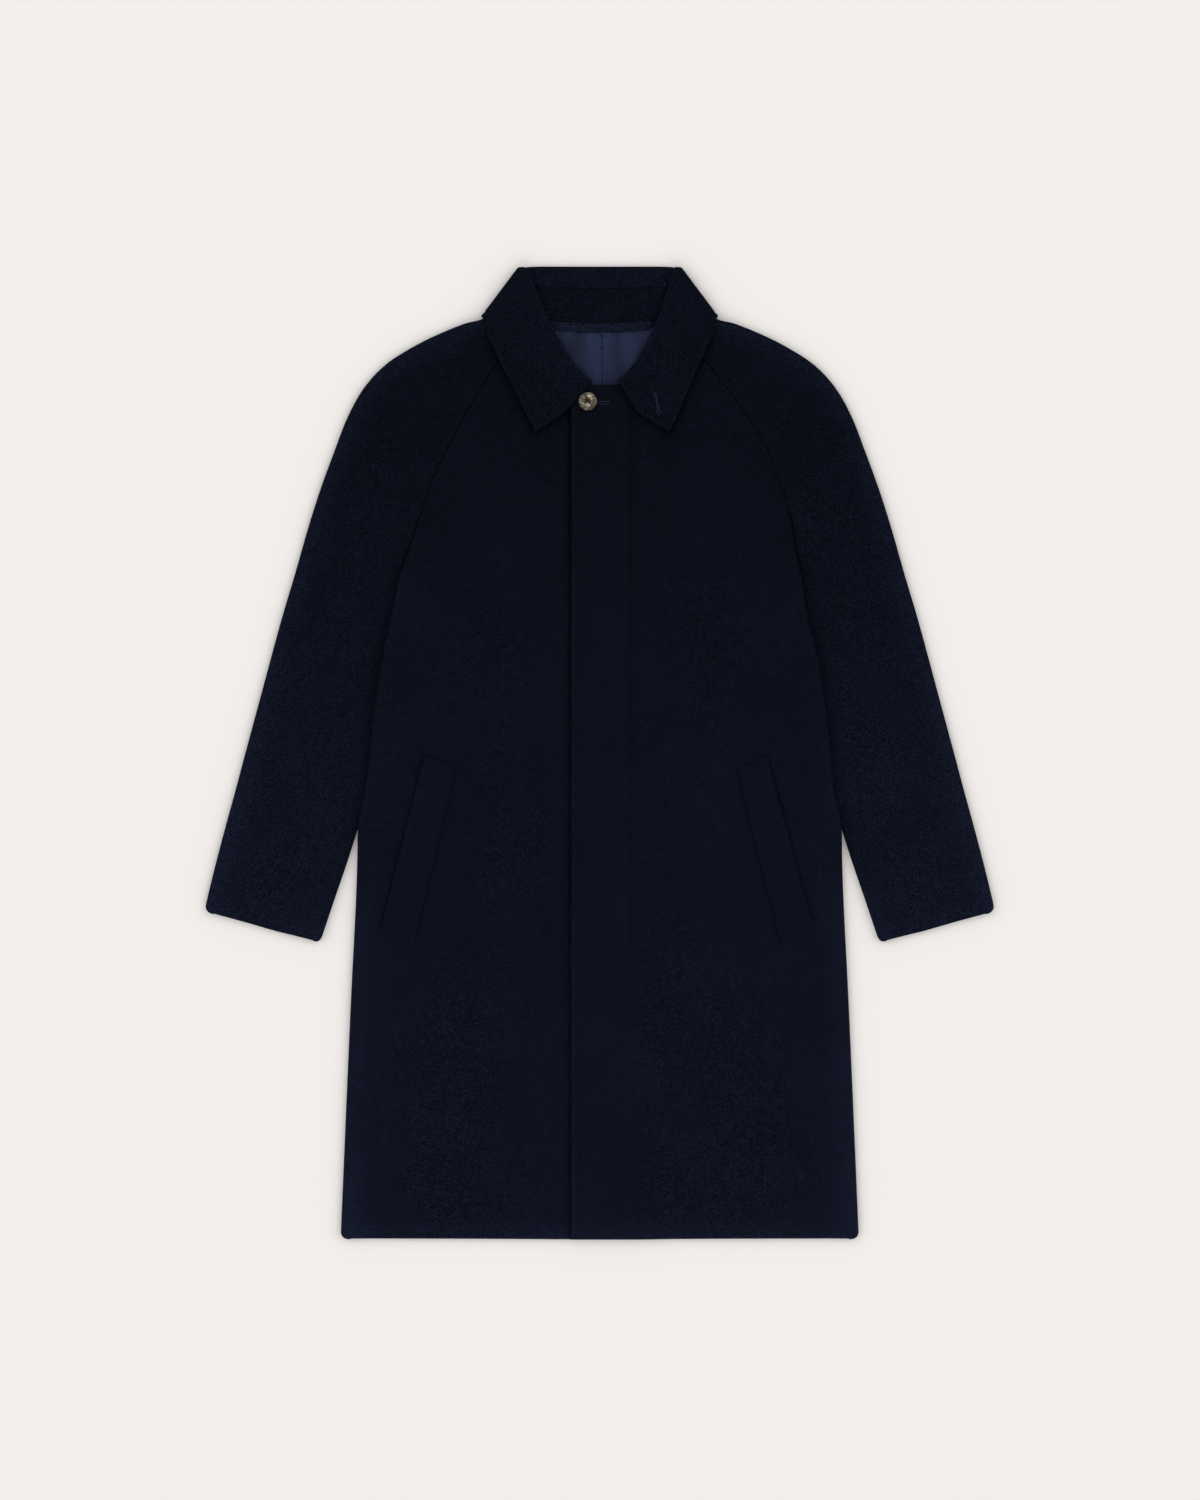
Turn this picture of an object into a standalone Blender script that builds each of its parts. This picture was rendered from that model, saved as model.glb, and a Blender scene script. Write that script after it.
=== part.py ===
"""Balmacaan overcoat of dark wool, laid flat on its back and face up.

+X is the wearer's left, +Y runs from the hem to the collar and +Z is up.
Plan places are millimetres: "out" from the centre line, "drop" below the top of the collar.
"""

import math
from collections import namedtuple

import bmesh
import bpy

# Driving dimensions, millimetres
MM = 0.001
MIDDLE_DROP = 535.84
WALL = 2.4
LINING_WALL = 1.0
SEAM = 0.3
STACK = 3.0
BOTTOM = 1.2
TOP = 6.8
FOLD_STEPS = 3
# A folded edge stops short of its seam by half the gap, what the tilt of its last face adds and a spare
FOLD_SPARE = 0.2
FOLD_END = SEAM / 2.0 + WALL / 2.0 * math.sin(math.pi / 4.0 / FOLD_STEPS) + FOLD_SPARE
ARMPIT_GAP = 0.35

# The neck lifts the back over the collar's fall, round a capsule across the shoulders
NECK_SPAN = 110.0
NECK_DROP = 37.0
NECK_REACH = 40.0
NECK_EASE = 28.0
TOP_LIFT = 1.6

# The left front laps over the right one
LAP_EDGE = -32.5
LAP_UNDER = 30.0
LAP_FLAT = 34.0
LAP_EASE = 90.0
LEAF_LAP_FLAT = -36.0
LEAF_LAP_EASE = -66.0

# The body's sides ride over the inner edges of the sleeves
RIDE_BACK = 6.4
RIDE_FRONT = 4.4
RIDE_PLATEAU = 4.0
RIDE_EASE = 35.0
SLEEVE_PINCH = 2.0
PINCH_EASE = 45.0

# Sections of a sleeve from the neck to the cuff: the seam or inner edge of each side, and the outer fold
SleeveSection = namedtuple("SleeveSection", "right_out right_drop left_out left_drop fold_out fold_drop")
SLEEVE_SECTIONS = [
    SleeveSection(92.0, 76.0, 92.0, 76.0, 119.7, 45.7),
    SleeveSection(97.5, 84.0, 98.5, 83.5, 124.1, 51.4),
    SleeveSection(103.0, 92.0, 105.0, 91.0, 129.1, 58.1),
    SleeveSection(115.0, 110.0, 118.0, 107.0, 147.0, 62.8),
    SleeveSection(134.0, 139.0, 138.0, 132.0, 180.0, 75.8),
    SleeveSection(147.0, 162.0, 158.0, 159.0, 207.0, 89.5),
    SleeveSection(164.0, 194.0, 180.0, 194.0, 236.0, 108.5),
    SleeveSection(183.0, 232.0, 195.5, 230.0, 259.6, 134.0),
    SleeveSection(192.0, 258.0, 205.0, 258.0, 277.0, 165.0),
    SleeveSection(201.0, 284.0, 212.0, 284.0, 293.0, 206.0),
    SleeveSection(211.0, 312.0, 216.5, 312.0, 308.0, 247.0),
    SleeveSection(220.3, 342.0, 221.7, 342.0, 321.0, 288.0),
    SleeveSection(222.3, 380.0, 222.3, 380.0, 335.0, 337.0),
    SleeveSection(228.5, 430.0, 228.5, 430.0, 351.0, 391.0),
    SleeveSection(238.0, 500.0, 238.0, 500.0, 370.5, 463.0),
    SleeveSection(251.0, 575.0, 251.0, 575.0, 390.2, 536.0),
    SleeveSection(266.3, 619.0, 266.3, 619.0, 401.6, 579.0),
    SleeveSection(277.0, 653.0, 277.0, 653.0, 411.5, 615.0),
    SleeveSection(292.0, 697.0, 292.0, 697.0, 423.6, 661.0),
    SleeveSection(308.0, 744.7, 308.0, 744.7, 435.6, 710.6),
]
SEAM_SECTIONS = 12
ARMPIT = 8
RIDE_START = 10
BACK_NECK_OUT = 93.0
BACK_NECK_DROP = 54.0


# The body below the underarm: its side folds, how far it rides over the sleeve, and how much it is lifted
BodySection = namedtuple("BodySection", "drop right_out left_out overlap ride")
BODY_SECTIONS = [
    BodySection(380.0, 227.9, 227.1, 5.2, 1.0),
    BodySection(430.0, 238.5, 239.0, 10.2, 1.0),
    BodySection(500.0, 249.0, 249.6, 11.2, 1.0),
    BodySection(575.0, 257.5, 257.5, 6.5, 1.0),
    BodySection(619.0, 266.0, 266.0, 0.0, 1.0),
    BodySection(653.0, 266.8, 266.8, 0.0, 0.35),
    BodySection(697.0, 268.4, 268.4, 0.0, 0.0),
    BodySection(795.0, 273.3, 273.3, 0.0, 0.0),
    BodySection(895.0, 277.8, 277.8, 0.0, 0.0),
    BodySection(1000.0, 282.3, 282.3, 0.0, 0.0),
    BodySection(1060.0, 284.9, 284.9, 0.0, 0.0),
    BodySection(1071.0, 279.0, 279.0, 0.0, 0.0),
]

# Upper sections of the fronts: a place along the raglan seam, counted in sleeve sections, and the inner
# end, which is a place along the neckline, counted in leaf sections, or a plan place below it
FrontSection = namedtuple("FrontSection", "seam leaf inner_out inner_drop")
RIGHT_FRONT = [
    FrontSection(0.45, 4.4, None, None),
    FrontSection(2.0, 4.0, None, None),
    FrontSection(3.0, 3.0, None, None),
    FrontSection(4.0, 2.0, None, None),
    FrontSection(4.5, 1.0, None, None),
    FrontSection(5.0, 0.0, None, None),
    FrontSection(5.5, None, -LAP_UNDER, 134.0),
    FrontSection(6.0, None, -LAP_UNDER, 165.0),
    FrontSection(7.0, None, -LAP_UNDER, 205.0),
    FrontSection(8.0, None, -LAP_UNDER, 240.0),
    FrontSection(9.0, None, -LAP_UNDER, 270.0),
    FrontSection(10.0, None, -LAP_UNDER, 305.0),
    FrontSection(11.0, None, -LAP_UNDER, 342.0),
]
LEFT_FRONT = [
    FrontSection(0.45, 4.4, None, None),
    FrontSection(2.0, 4.0, None, None),
    FrontSection(3.0, 3.0, None, None),
    FrontSection(4.0, 2.0, None, None),
    FrontSection(4.5, 1.0, None, None),
    FrontSection(5.0, 0.0, None, None),
    FrontSection(5.4, None, -5.0, 131.2),
    FrontSection(5.8, None, LAP_EDGE, 140.0),
    FrontSection(6.3, None, LAP_EDGE, 170.0),
    FrontSection(7.0, None, LAP_EDGE, 205.0),
    FrontSection(8.0, None, LAP_EDGE, 240.0),
    FrontSection(9.0, None, LAP_EDGE, 270.0),
    FrontSection(10.0, None, LAP_EDGE, 305.0),
    FrontSection(11.0, None, LAP_EDGE, 342.0),
]

# Upper sections of the back: a place along its raglan seam and the sag of the section at the centre
BackSection = namedtuple("BackSection", "seam sag ride")
BACK_SECTIONS = [
    BackSection(0.0, 9.5, 0.0),
    BackSection(0.5, 7.0, 0.0),
    BackSection(1.0, 6.0, 0.0),
    BackSection(1.5, 5.0, 0.0),
    BackSection(2.0, 4.0, 0.0),
    BackSection(2.5, 3.0, 0.0),
    BackSection(3.0, 2.0, 0.0),
    BackSection(4.0, 0.0, 0.0),
    BackSection(5.0, 0.0, 0.0),
    BackSection(6.0, 0.0, 0.0),
    BackSection(7.0, 0.0, 0.0),
    BackSection(8.0, 0.0, 0.0),
    BackSection(9.0, 0.0, 0.0),
    BackSection(10.0, 0.0, 0.0),
    BackSection(11.0, 0.0, 1.0),
]

# Sections of the collar: the fold of the roll, the edge of the fall, the width of the roll, the whole
# inner height down to the neckline, and the bow of the leaf's edge
CollarSection = namedtuple("CollarSection", "roll_out roll_drop edge_out edge_drop roll neck bow")
RIGHT_LEAF = [
    CollarSection(7.0, 127.8, 70.4, 183.9, 3.7, 4.0, 4.0),
    CollarSection(18.0, 118.5, 77.5, 170.0, 6.0, 9.0, 3.0),
    CollarSection(30.9, 103.5, 87.0, 151.0, 10.0, 18.0, 1.5),
    CollarSection(43.0, 83.5, 97.5, 130.0, 14.0, 28.0, 0.5),
    CollarSection(54.0, 63.5, 107.5, 110.0, 18.0, 37.0, 0.0),
    CollarSection(63.5, 41.5, 117.0, 90.0, 21.0, 44.0, 0.0),
    CollarSection(72.9, 19.4, 124.5, 72.0, 23.0, 51.0, 0.0),
]
LEFT_LEAF = [
    CollarSection(18.5, 127.5, 76.5, 183.5, 3.7, 4.0, 8.0),
    CollarSection(28.5, 117.5, 83.0, 170.0, 6.0, 9.0, 6.0),
    CollarSection(41.0, 103.5, 91.0, 151.0, 10.0, 17.0, 3.0),
    CollarSection(51.5, 84.5, 100.0, 130.0, 14.0, 26.0, 1.0),
    CollarSection(61.0, 65.0, 109.0, 110.0, 18.0, 31.5, 0.0),
    CollarSection(68.5, 44.0, 118.0, 90.0, 21.0, 38.5, 0.0),
    CollarSection(76.5, 21.0, 124.5, 72.0, 23.0, 47.5, 0.0),
]
BACK_COLLAR = [
    CollarSection(78.0, 0.6, 116.0, 66.0, 24.2, 57.0, 0.0),
    CollarSection(62.0, 0.0, 90.0, 71.0, 24.2, 59.8, 0.0),
    CollarSection(42.0, 0.0, 58.0, 73.0, 24.2, 61.4, 0.0),
    CollarSection(21.0, 0.0, 28.0, 73.5, 24.2, 62.9, 0.0),
    CollarSection(0.0, 0.0, 0.0, 73.5, 24.2, 63.2, 0.0),
]
COLLAR_AXIS_Z = 6.3
COLLAR_ROLL_REACH = 2.1
COLLAR_FALL_REACH = 5.1
COLLAR_SIDE = (84.1, 3.7)
COLLAR_SIDE_SLOPE = (0.6, 0.8)
COLLAR_SIDE_FALL = 69.3
COLLAR_SIDE_ROLL = 21.5
COLLAR_SIDE_NECK = 53.8
COLLAR_CORNER = 3.0
COLLAR_CORNER_REACH = 20.0
COLLAR_TURNS = 6
ROLL_COLUMNS = 2
RIM_STEPS = 4
FALL_COLUMNS = 5
STAND_COLUMNS = 3
STAND_MIN = 6.0

# Corners of the pocket welts: out and drop, round from the upper outer corner
WeltCorner = namedtuple("WeltCorner", "out drop")
RIGHT_WELT = [
    WeltCorner(193.6, 536.3),
    WeltCorner(156.8, 553.9),
    WeltCorner(204.1, 748.0),
    WeltCorner(242.2, 728.8),
]
LEFT_WELT = [
    WeltCorner(184.8, 537.9),
    WeltCorner(150.2, 553.9),
    WeltCorner(197.5, 744.3),
    WeltCorner(234.3, 720.0),
]

# The top button
BUTTON_X = -13.2
BUTTON_DROP = 149.4
BUTTON_RADIUS = 10.0
BUTTON_HEIGHT = 4.0
BUTTON_DISH = 1.2
BUTTON_RIM = 2.6
BUTTON_HOLE = 1.0
BUTTON_HOLE_PITCH = 2.3
BUTTON_STEPS = 24

# The lining in the neck, as rows and reach of the back's own sections
LINING_FIRST_ROW = 1
LINING_LAST_ROW = 8
LINING_REACH = 78.0
LINING_GAP = 2.0

PANEL_COLUMNS = 8
LAP_COLUMNS = 12
BACK_COLUMNS = 10
SLEEVE_COLUMNS = 6
# Extra columns beside a fold that rides over the sleeve, where the cloth bends most
RIDE_COLUMNS = (15.0, 27.0, 40.0)
RIDE_LENGTH = 160.0

WOOL = ((0.0048, 0.0060, 0.0123), 0.92, 0.0)
LINING = ((0.020, 0.027, 0.060), 0.55, 0.0)
HORN = ((0.112, 0.089, 0.063), 0.42, 0.0)


def smooth(value):
    """Ease from 0 to 1 as the value goes from 0 to 1."""
    t = min(max(value, 0.0), 1.0)
    return t * t * (3.0 - 2.0 * t)


def neck_lift(x, drop):
    """Share of the lift over the collar's fall at a plan place."""
    beyond = max(abs(x) - NECK_SPAN, 0.0)
    away = math.hypot(beyond, drop - NECK_DROP)
    return 1.0 - smooth((away - NECK_REACH) / NECK_EASE)


def lap_rise(x):
    """Rise of the left front where it lies over the right one."""
    return STACK * (1.0 - smooth((x - LAP_FLAT) / (LAP_EASE - LAP_FLAT)))


def bottom_level(x, drop):
    """Middle height of the bottom layer."""
    return BOTTOM + STACK * neck_lift(x, drop)


def top_level(x, drop):
    """Middle height of the top layer, without the lap."""
    return TOP + TOP_LIFT * neck_lift(x, drop)


def lapped_level(x, drop):
    """Middle height of the left front."""
    return top_level(x, drop) + lap_rise(x)


def right_leaf_level(x, drop):
    """Height of what carries the right leaf, which ends over the lap."""
    share = smooth((x - LEAF_LAP_EASE) / (LEAF_LAP_FLAT - LEAF_LAP_EASE))
    return top_level(x, drop) + STACK * share


def between(a, b, share):
    """Point between two points."""
    return tuple(p + (q - p) * share for p, q in zip(a, b))


def along(points, place):
    """Point at a place on a polyline, counted in its points."""
    first = min(int(place), len(points) - 2)
    return between(points[first], points[first + 1], place - first)


def shifted(points, distances):
    """Polyline moved sideways in plan by a distance for each point, to the left of its run."""
    moved = []
    for index, point in enumerate(points):
        before = points[max(index - 1, 0)]
        after = points[min(index + 1, len(points) - 1)]
        run = (after[0] - before[0], after[1] - before[1])
        side = distances[index] / math.hypot(*run)
        moved.append((point[0] + run[1] * side, point[1] - run[0] * side))
    return moved


def fold_profile(turn, radius):
    """Distances in from the outline and heights toward the middle, round one folded or plain edge."""
    profile = []
    lean = math.sin(math.pi / 2.0 * turn)
    for step in range(FOLD_STEPS):
        share = 1.0 - step / FOLD_STEPS
        angle = math.pi / 2.0 * turn * share
        arc = radius * (lean - math.sin(angle))
        spread = radius * (1.0 - share)
        reach = lean * WALL / 2.0 + turn * arc + (1.0 - turn) * spread
        profile.append((reach, (radius - FOLD_END) * (1.0 - math.cos(angle))))
    full = lean * WALL / 2.0 + turn * radius * lean + (1.0 - turn) * radius
    return profile, full


def section(start, end, columns, level, start_fold=None, end_fold=None, start_extra=(), end_extra=()):
    """Points of one section between two plan points, with a fold at either end.

    A fold is (turn, radius, direction): direction is -1 where the cloth turns down and 1 where it turns up.
    The extra columns are reaches in from either end, drawn closer on a short section.
    """
    length = math.hypot(end[0] - start[0], end[1] - start[1])
    run = ((end[0] - start[0]) / length, (end[1] - start[1]) / length)

    def point(reach, bend):
        x = start[0] + run[0] * reach
        drop = start[1] + run[1] * reach
        return (x, drop, level(x, drop, reach, length - reach) + bend)

    first = 0.0
    last = length
    heads = []
    tails = []
    if start_fold:
        turn, radius, direction = start_fold
        profile, first = fold_profile(turn, radius)
        heads = [point(reach, direction * bend) for reach, bend in profile]
    if end_fold:
        turn, radius, direction = end_fold
        profile, full = fold_profile(turn, radius)
        last = length - full
        tails = [point(length - reach, direction * bend) for reach, bend in reversed(profile)]
    scale = min(1.0, (last - first) / RIDE_LENGTH)
    heads_in = [first] + [first + reach * scale for reach in start_extra]
    tails_in = [last - reach * scale for reach in reversed(end_extra)] + [last]
    spread = (tails_in[0] - heads_in[-1]) / columns
    places = heads_in + [heads_in[-1] + spread * index for index in range(1, columns)] + tails_in
    return heads + [point(place, 0.0) for place in places] + tails


def make_material(name, finish):
    """Principled material from a colour, a roughness and a metallic value."""
    colour, roughness, metallic = finish
    material = bpy.data.materials.new(name)
    material.use_nodes = True
    shader = material.node_tree.nodes["Principled BSDF"]
    shader.inputs["Base Color"].default_value = (*colour, 1.0)
    shader.inputs["Roughness"].default_value = roughness
    shader.inputs["Metallic"].default_value = metallic
    material.diffuse_color = (*colour, 1.0)
    return material


def add_object(name, mesh, material, collection):
    """New object with its mesh and material in a collection."""
    thing = bpy.data.objects.new(name, mesh)
    mesh.materials.append(material)
    collection.objects.link(thing)
    return thing


def cloth(name, rows, material, collection, wall=WALL):
    """Panel of cloth: an open surface through rows of points, given its wall by Solidify."""
    mesh = bpy.data.meshes.new(name)
    count = len(rows[0])
    points = [(x * MM, (MIDDLE_DROP - drop) * MM, z * MM) for row in rows for x, drop, z in row]
    faces = []
    for row in range(len(rows) - 1):
        for column in range(count - 1):
            corner = row * count + column
            faces.append((corner, corner + count, corner + count + 1, corner + 1))
    mesh.from_pydata(points, [], faces)
    mesh.validate()
    thing = add_object(name, mesh, material, collection)
    solidify = thing.modifiers.new("wall", "SOLIDIFY")
    solidify.thickness = wall * MM
    solidify.offset = 0.0
    solidify.use_even_offset = True
    mesh.shade_smooth()
    return thing


def seam_line(side):
    """Raglan seam of one side from the neckline to below the underarm, in plan."""
    points = []
    for row in SLEEVE_SECTIONS[:SEAM_SECTIONS]:
        out, drop = (row.left_out, row.left_drop) if side > 0 else (row.right_out, row.right_drop)
        points.append((side * out, drop))
    return points


def back_seam_line(side):
    """Raglan seam on the back, which starts higher on the neckline."""
    line = seam_line(side)
    line[0] = (side * BACK_NECK_OUT, BACK_NECK_DROP)
    line[1] = between(line[0], line[2], 0.5)
    return line


def seam_gaps(side, away):
    """Sideways shifts of the raglan seam to one piece's edge, wider where the armpit starts to fold."""
    gaps = [SEAM / 2.0] * SEAM_SECTIONS
    gaps[ARMPIT + 1] += ARMPIT_GAP
    gaps[ARMPIT + 2] += ARMPIT_GAP
    return [side * away * gap for gap in gaps]


def neck_point(row):
    """Place on the neckline at one section of the collar."""
    run = (row.edge_out - row.roll_out, row.edge_drop - row.roll_drop)
    share = row.neck / math.hypot(*run)
    return (row.roll_out + run[0] * share, row.roll_drop + run[1] * share)


def seam_turn(place):
    """How far the cloth is turned at a place on the raglan seam: flat above the armpit, folded below it."""
    return smooth((place - ARMPIT) / (SEAM_SECTIONS - 1 - ARMPIT))


def seam_ride(place):
    """How far the body rides over the sleeve at a place on the raglan seam."""
    return smooth((place - RIDE_START) / (SEAM_SECTIONS - 1 - RIDE_START))


def ride_share(ride, overlap, reach):
    """Share of the ride over the sleeve at a reach from the body's side."""
    return ride * (1.0 - smooth((reach - overlap - RIDE_PLATEAU) / RIDE_EASE))


def side_radius(ride):
    """Radius of the body's side fold, which is pressed flatter where it rides on the sleeve."""
    return (TOP - BOTTOM - (RIDE_BACK - RIDE_FRONT) * ride) / 2.0


def front_panel(name, side, uppers, level, columns, inner_x, material, collection):
    """One front, from its raglan seam and side seam to its front edge."""
    line = shifted(seam_line(side), seam_gaps(side, -1.0))
    leaf = [neck_point(row) for row in (LEFT_LEAF if side > 0 else RIGHT_LEAF)]
    neckline = shifted([(side * out, drop) for out, drop in leaf], [-side * SEAM / 2.0] * len(leaf))
    specs = []
    for row in uppers:
        inner = (side * row.inner_out, row.inner_drop) if row.leaf is None else along(neckline, row.leaf)
        specs.append((along(line, row.seam), inner, seam_turn(row.seam), seam_ride(row.seam), 0.0))
    for row in BODY_SECTIONS:
        out = row.left_out if side > 0 else row.right_out
        specs.append(((side * out, row.drop), (inner_x, row.drop), 1.0, row.ride, row.overlap))
    rows = []
    for outer, inner, turn, ride, overlap in specs:

        def height(x, drop, reach, _):
            return level(x, drop) + RIDE_FRONT * ride_share(ride, overlap, reach)

        fold = (turn, side_radius(ride), -1.0)
        rows.append(section(outer, inner, columns, height, start_fold=fold, start_extra=RIDE_COLUMNS))
    return cloth(name, rows if side < 0 else [row[::-1] for row in rows], material, collection)


def back_rows():
    """Sections of the back from the neckline to the hem."""
    lines = {side: shifted(back_seam_line(side), seam_gaps(side, -1.0)) for side in (-1, 1)}
    specs = []
    for row in BACK_SECTIONS:
        ends = [along(lines[side], row.seam) for side in (-1, 1)]
        specs.append((*ends, row.sag, seam_turn(row.seam), row.ride, 0.0))
    for row in BODY_SECTIONS:
        ends = [(-row.right_out, row.drop), (row.left_out, row.drop)]
        specs.append((*ends, 0.0, 1.0, row.ride, row.overlap))
    rows = []
    for start, end, sag, turn, ride, overlap in specs:

        def height(x, drop, reach, far):
            return RIDE_BACK * ride_share(ride, overlap, min(reach, far))

        fold = (turn, side_radius(ride), 1.0)
        points = section(start, end, BACK_COLUMNS, height, fold, fold, RIDE_COLUMNS, RIDE_COLUMNS)
        width = end[0] - start[0]
        sagged = []
        for x, drop, z in points:
            share = (x - start[0]) / width
            low = drop + sag * 4.0 * share * (1.0 - share) + SEAM
            sagged.append((x, low, z + bottom_level(x, low)))
        rows.append(sagged)
    return rows


def sleeve_half(name, side, is_front, material, collection):
    """Front or back half of a sleeve, from its raglan seam and inner edge to its outer fold."""
    inner_line = seam_line(side) if is_front else back_seam_line(side)
    inner_line = shifted(inner_line, seam_gaps(side, 1.0))
    body_overlaps = [0.0] * SEAM_SECTIONS
    rides = [seam_ride(place) for place in range(SEAM_SECTIONS)]
    for row in BODY_SECTIONS[: len(SLEEVE_SECTIONS) - SEAM_SECTIONS]:
        body_overlaps.append(row.overlap)
        rides.append(row.ride)
    rides[-1] = 0.0
    rows = []
    for place, row in enumerate(SLEEVE_SECTIONS):
        if place < SEAM_SECTIONS:
            inner = inner_line[place]
        else:
            inner = (side * (row.left_out if side > 0 else row.right_out), row.left_drop)
        outer = (side * row.fold_out, row.fold_drop)
        pinch = rides[place]
        overlap = body_overlaps[place]
        turn = seam_turn(place)

        def height(x, drop, reach, _):
            if not is_front:
                return bottom_level(x, drop)
            share = pinch * (1.0 - smooth((reach - overlap - RIDE_PLATEAU) / PINCH_EASE))
            return top_level(x, drop) - SLEEVE_PINCH * share

        direction = -1.0 if is_front else 1.0
        inner_radius = (TOP - SLEEVE_PINCH * pinch - BOTTOM) / 2.0
        if place == 0:
            inner_radius = (top_level(*outer) - bottom_level(*outer)) / 2.0
        outer_radius = (top_level(*outer) - bottom_level(*outer)) / 2.0
        rows.append(
            section(
                inner,
                outer,
                SLEEVE_COLUMNS,
                height,
                start_fold=(turn, inner_radius, direction),
                end_fold=(1.0, outer_radius, direction),
            )
        )
    return cloth(name, rows if side > 0 else [row[::-1] for row in rows], material, collection)


def make_ring():
    """Frames of the collar round the neck: place, run, height functions and the section's widths.

    Each is (axis x, axis drop, run x, run drop, fall length, roll, neck, bow, side, turn): turn is None on
    the front leaves, and half turns round the fold line elsewhere, 0 on top and 1 underneath.
    """

    def frame(row, side, turn):
        run = (row.edge_out - row.roll_out, row.edge_drop - row.roll_drop)
        length = math.hypot(*run)
        run = (run[0] / length, run[1] / length)
        inset = (COLLAR_FALL_REACH - COLLAR_ROLL_REACH) / 2.0 + WALL / 2.0
        axis = (row.roll_out + run[0] * inset, row.roll_drop + run[1] * inset)
        return (
            side * axis[0],
            axis[1],
            side * run[0],
            run[1],
            length - inset,
            row.roll - inset,
            row.neck - inset,
            row.bow,
            side,
            turn,
        )

    def turned(side, turn):
        return (
            side * COLLAR_SIDE[0],
            COLLAR_SIDE[1],
            side * COLLAR_SIDE_SLOPE[0],
            COLLAR_SIDE_SLOPE[1],
            COLLAR_SIDE_FALL,
            COLLAR_SIDE_ROLL,
            COLLAR_SIDE_NECK,
            0.0,
            side,
            turn,
        )

    turns = [step / COLLAR_TURNS for step in range(COLLAR_TURNS + 1)]
    ring = [frame(row, -1, None) for row in RIGHT_LEAF]
    ring += [turned(-1, turn) for turn in turns]
    ring += [frame(row, -1, 1.0) for row in BACK_COLLAR]
    ring += [frame(row, 1, 1.0) for row in BACK_COLLAR[-2::-1]]
    ring += [turned(1, turn) for turn in reversed(turns)]
    ring += [frame(row, 1, None) for row in reversed(LEFT_LEAF)]
    return ring


def collar_point(frame, reach, layer, bow_share=0.0):
    """Point of the collar at a reach from its fold line: layer 0 is the roll's, 1 the fall's."""
    x, drop, run_x, run_drop, _, _, _, bow, side, turn = frame
    x += run_x * reach
    drop += run_drop * reach
    lean = bow * math.sin(math.pi * bow_share) ** 2
    x -= side * run_drop * lean
    drop += side * run_x * lean
    rho = COLLAR_ROLL_REACH + (COLLAR_FALL_REACH - COLLAR_ROLL_REACH) * layer
    if turn is None:
        level = lapped_level if side > 0 else right_leaf_level
        return (x, drop, level(x, drop) + STACK * layer)
    angle = math.pi * turn
    slide = COLLAR_CORNER * math.sin(angle) * (1.0 - min(max(reach / COLLAR_CORNER_REACH, 0.0), 1.0))
    x += run_x * slide + side * run_drop * math.sin(angle) * rho
    drop += run_drop * slide - side * run_x * math.sin(angle) * rho
    return (x, drop, COLLAR_AXIS_Z + math.cos(angle) * rho)


def collar_rows():
    """Sections of the collar: roll, rounded fold and fall."""
    rows = []
    rim = (COLLAR_FALL_REACH - COLLAR_ROLL_REACH) / 2.0
    for frame in make_ring():
        fall, roll = frame[4], frame[5]
        row = [collar_point(frame, roll * (1.0 - step / ROLL_COLUMNS), 0.0) for step in range(ROLL_COLUMNS)]
        for step in range(RIM_STEPS + 1):
            angle = math.pi * step / RIM_STEPS
            row.append(collar_point(frame, -rim * math.sin(angle), (1.0 - math.cos(angle)) / 2.0))
        for step in range(1, FALL_COLUMNS + 1):
            share = step / FALL_COLUMNS
            row.append(collar_point(frame, fall * share, 1.0, share))
        rows.append(row)
    return rows


def stand_rows():
    """Sections of the collar stand, from under the roll down to the neckline."""
    rows = []
    for frame in make_ring():
        roll, neck = frame[5] + SEAM, frame[6] - SEAM / 2.0
        if neck - roll < STAND_MIN:
            continue
        steps = range(STAND_COLUMNS + 1)
        rows.append([collar_point(frame, roll + (neck - roll) * step / STAND_COLUMNS, 0.0) for step in steps])
    return rows


def welt_rows(corners, side, level):
    """Sections of a pocket welt, moved out from the panel that it lies on."""
    upper_outer, upper_inner, lower_inner, lower_outer = corners
    rows = []
    for step in range(7):
        share = step / 6
        outer = between(upper_outer, lower_outer, share)
        inner = between(upper_inner, lower_inner, share)
        row = []
        for column in range(4):
            out, drop = between(outer, inner, column / 3)
            row.append((side * out, drop, level(side * out, drop) + STACK))
        rows.append(row if side < 0 else row[::-1])
    return rows


def lining_rows(rows):
    """Sections of the neck lining, made from the back's own points and moved up off them."""
    patch = []
    for row in rows[LINING_FIRST_ROW : LINING_LAST_ROW + 1]:
        kept = row[FOLD_STEPS + 2 : len(row) - FOLD_STEPS - 2]
        scale = min(1.0, LINING_REACH / max(abs(kept[0][0]), abs(kept[-1][0])))
        patch.append([(x * scale, drop, z + LINING_GAP) for x, drop, z in kept])
    return patch


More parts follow.
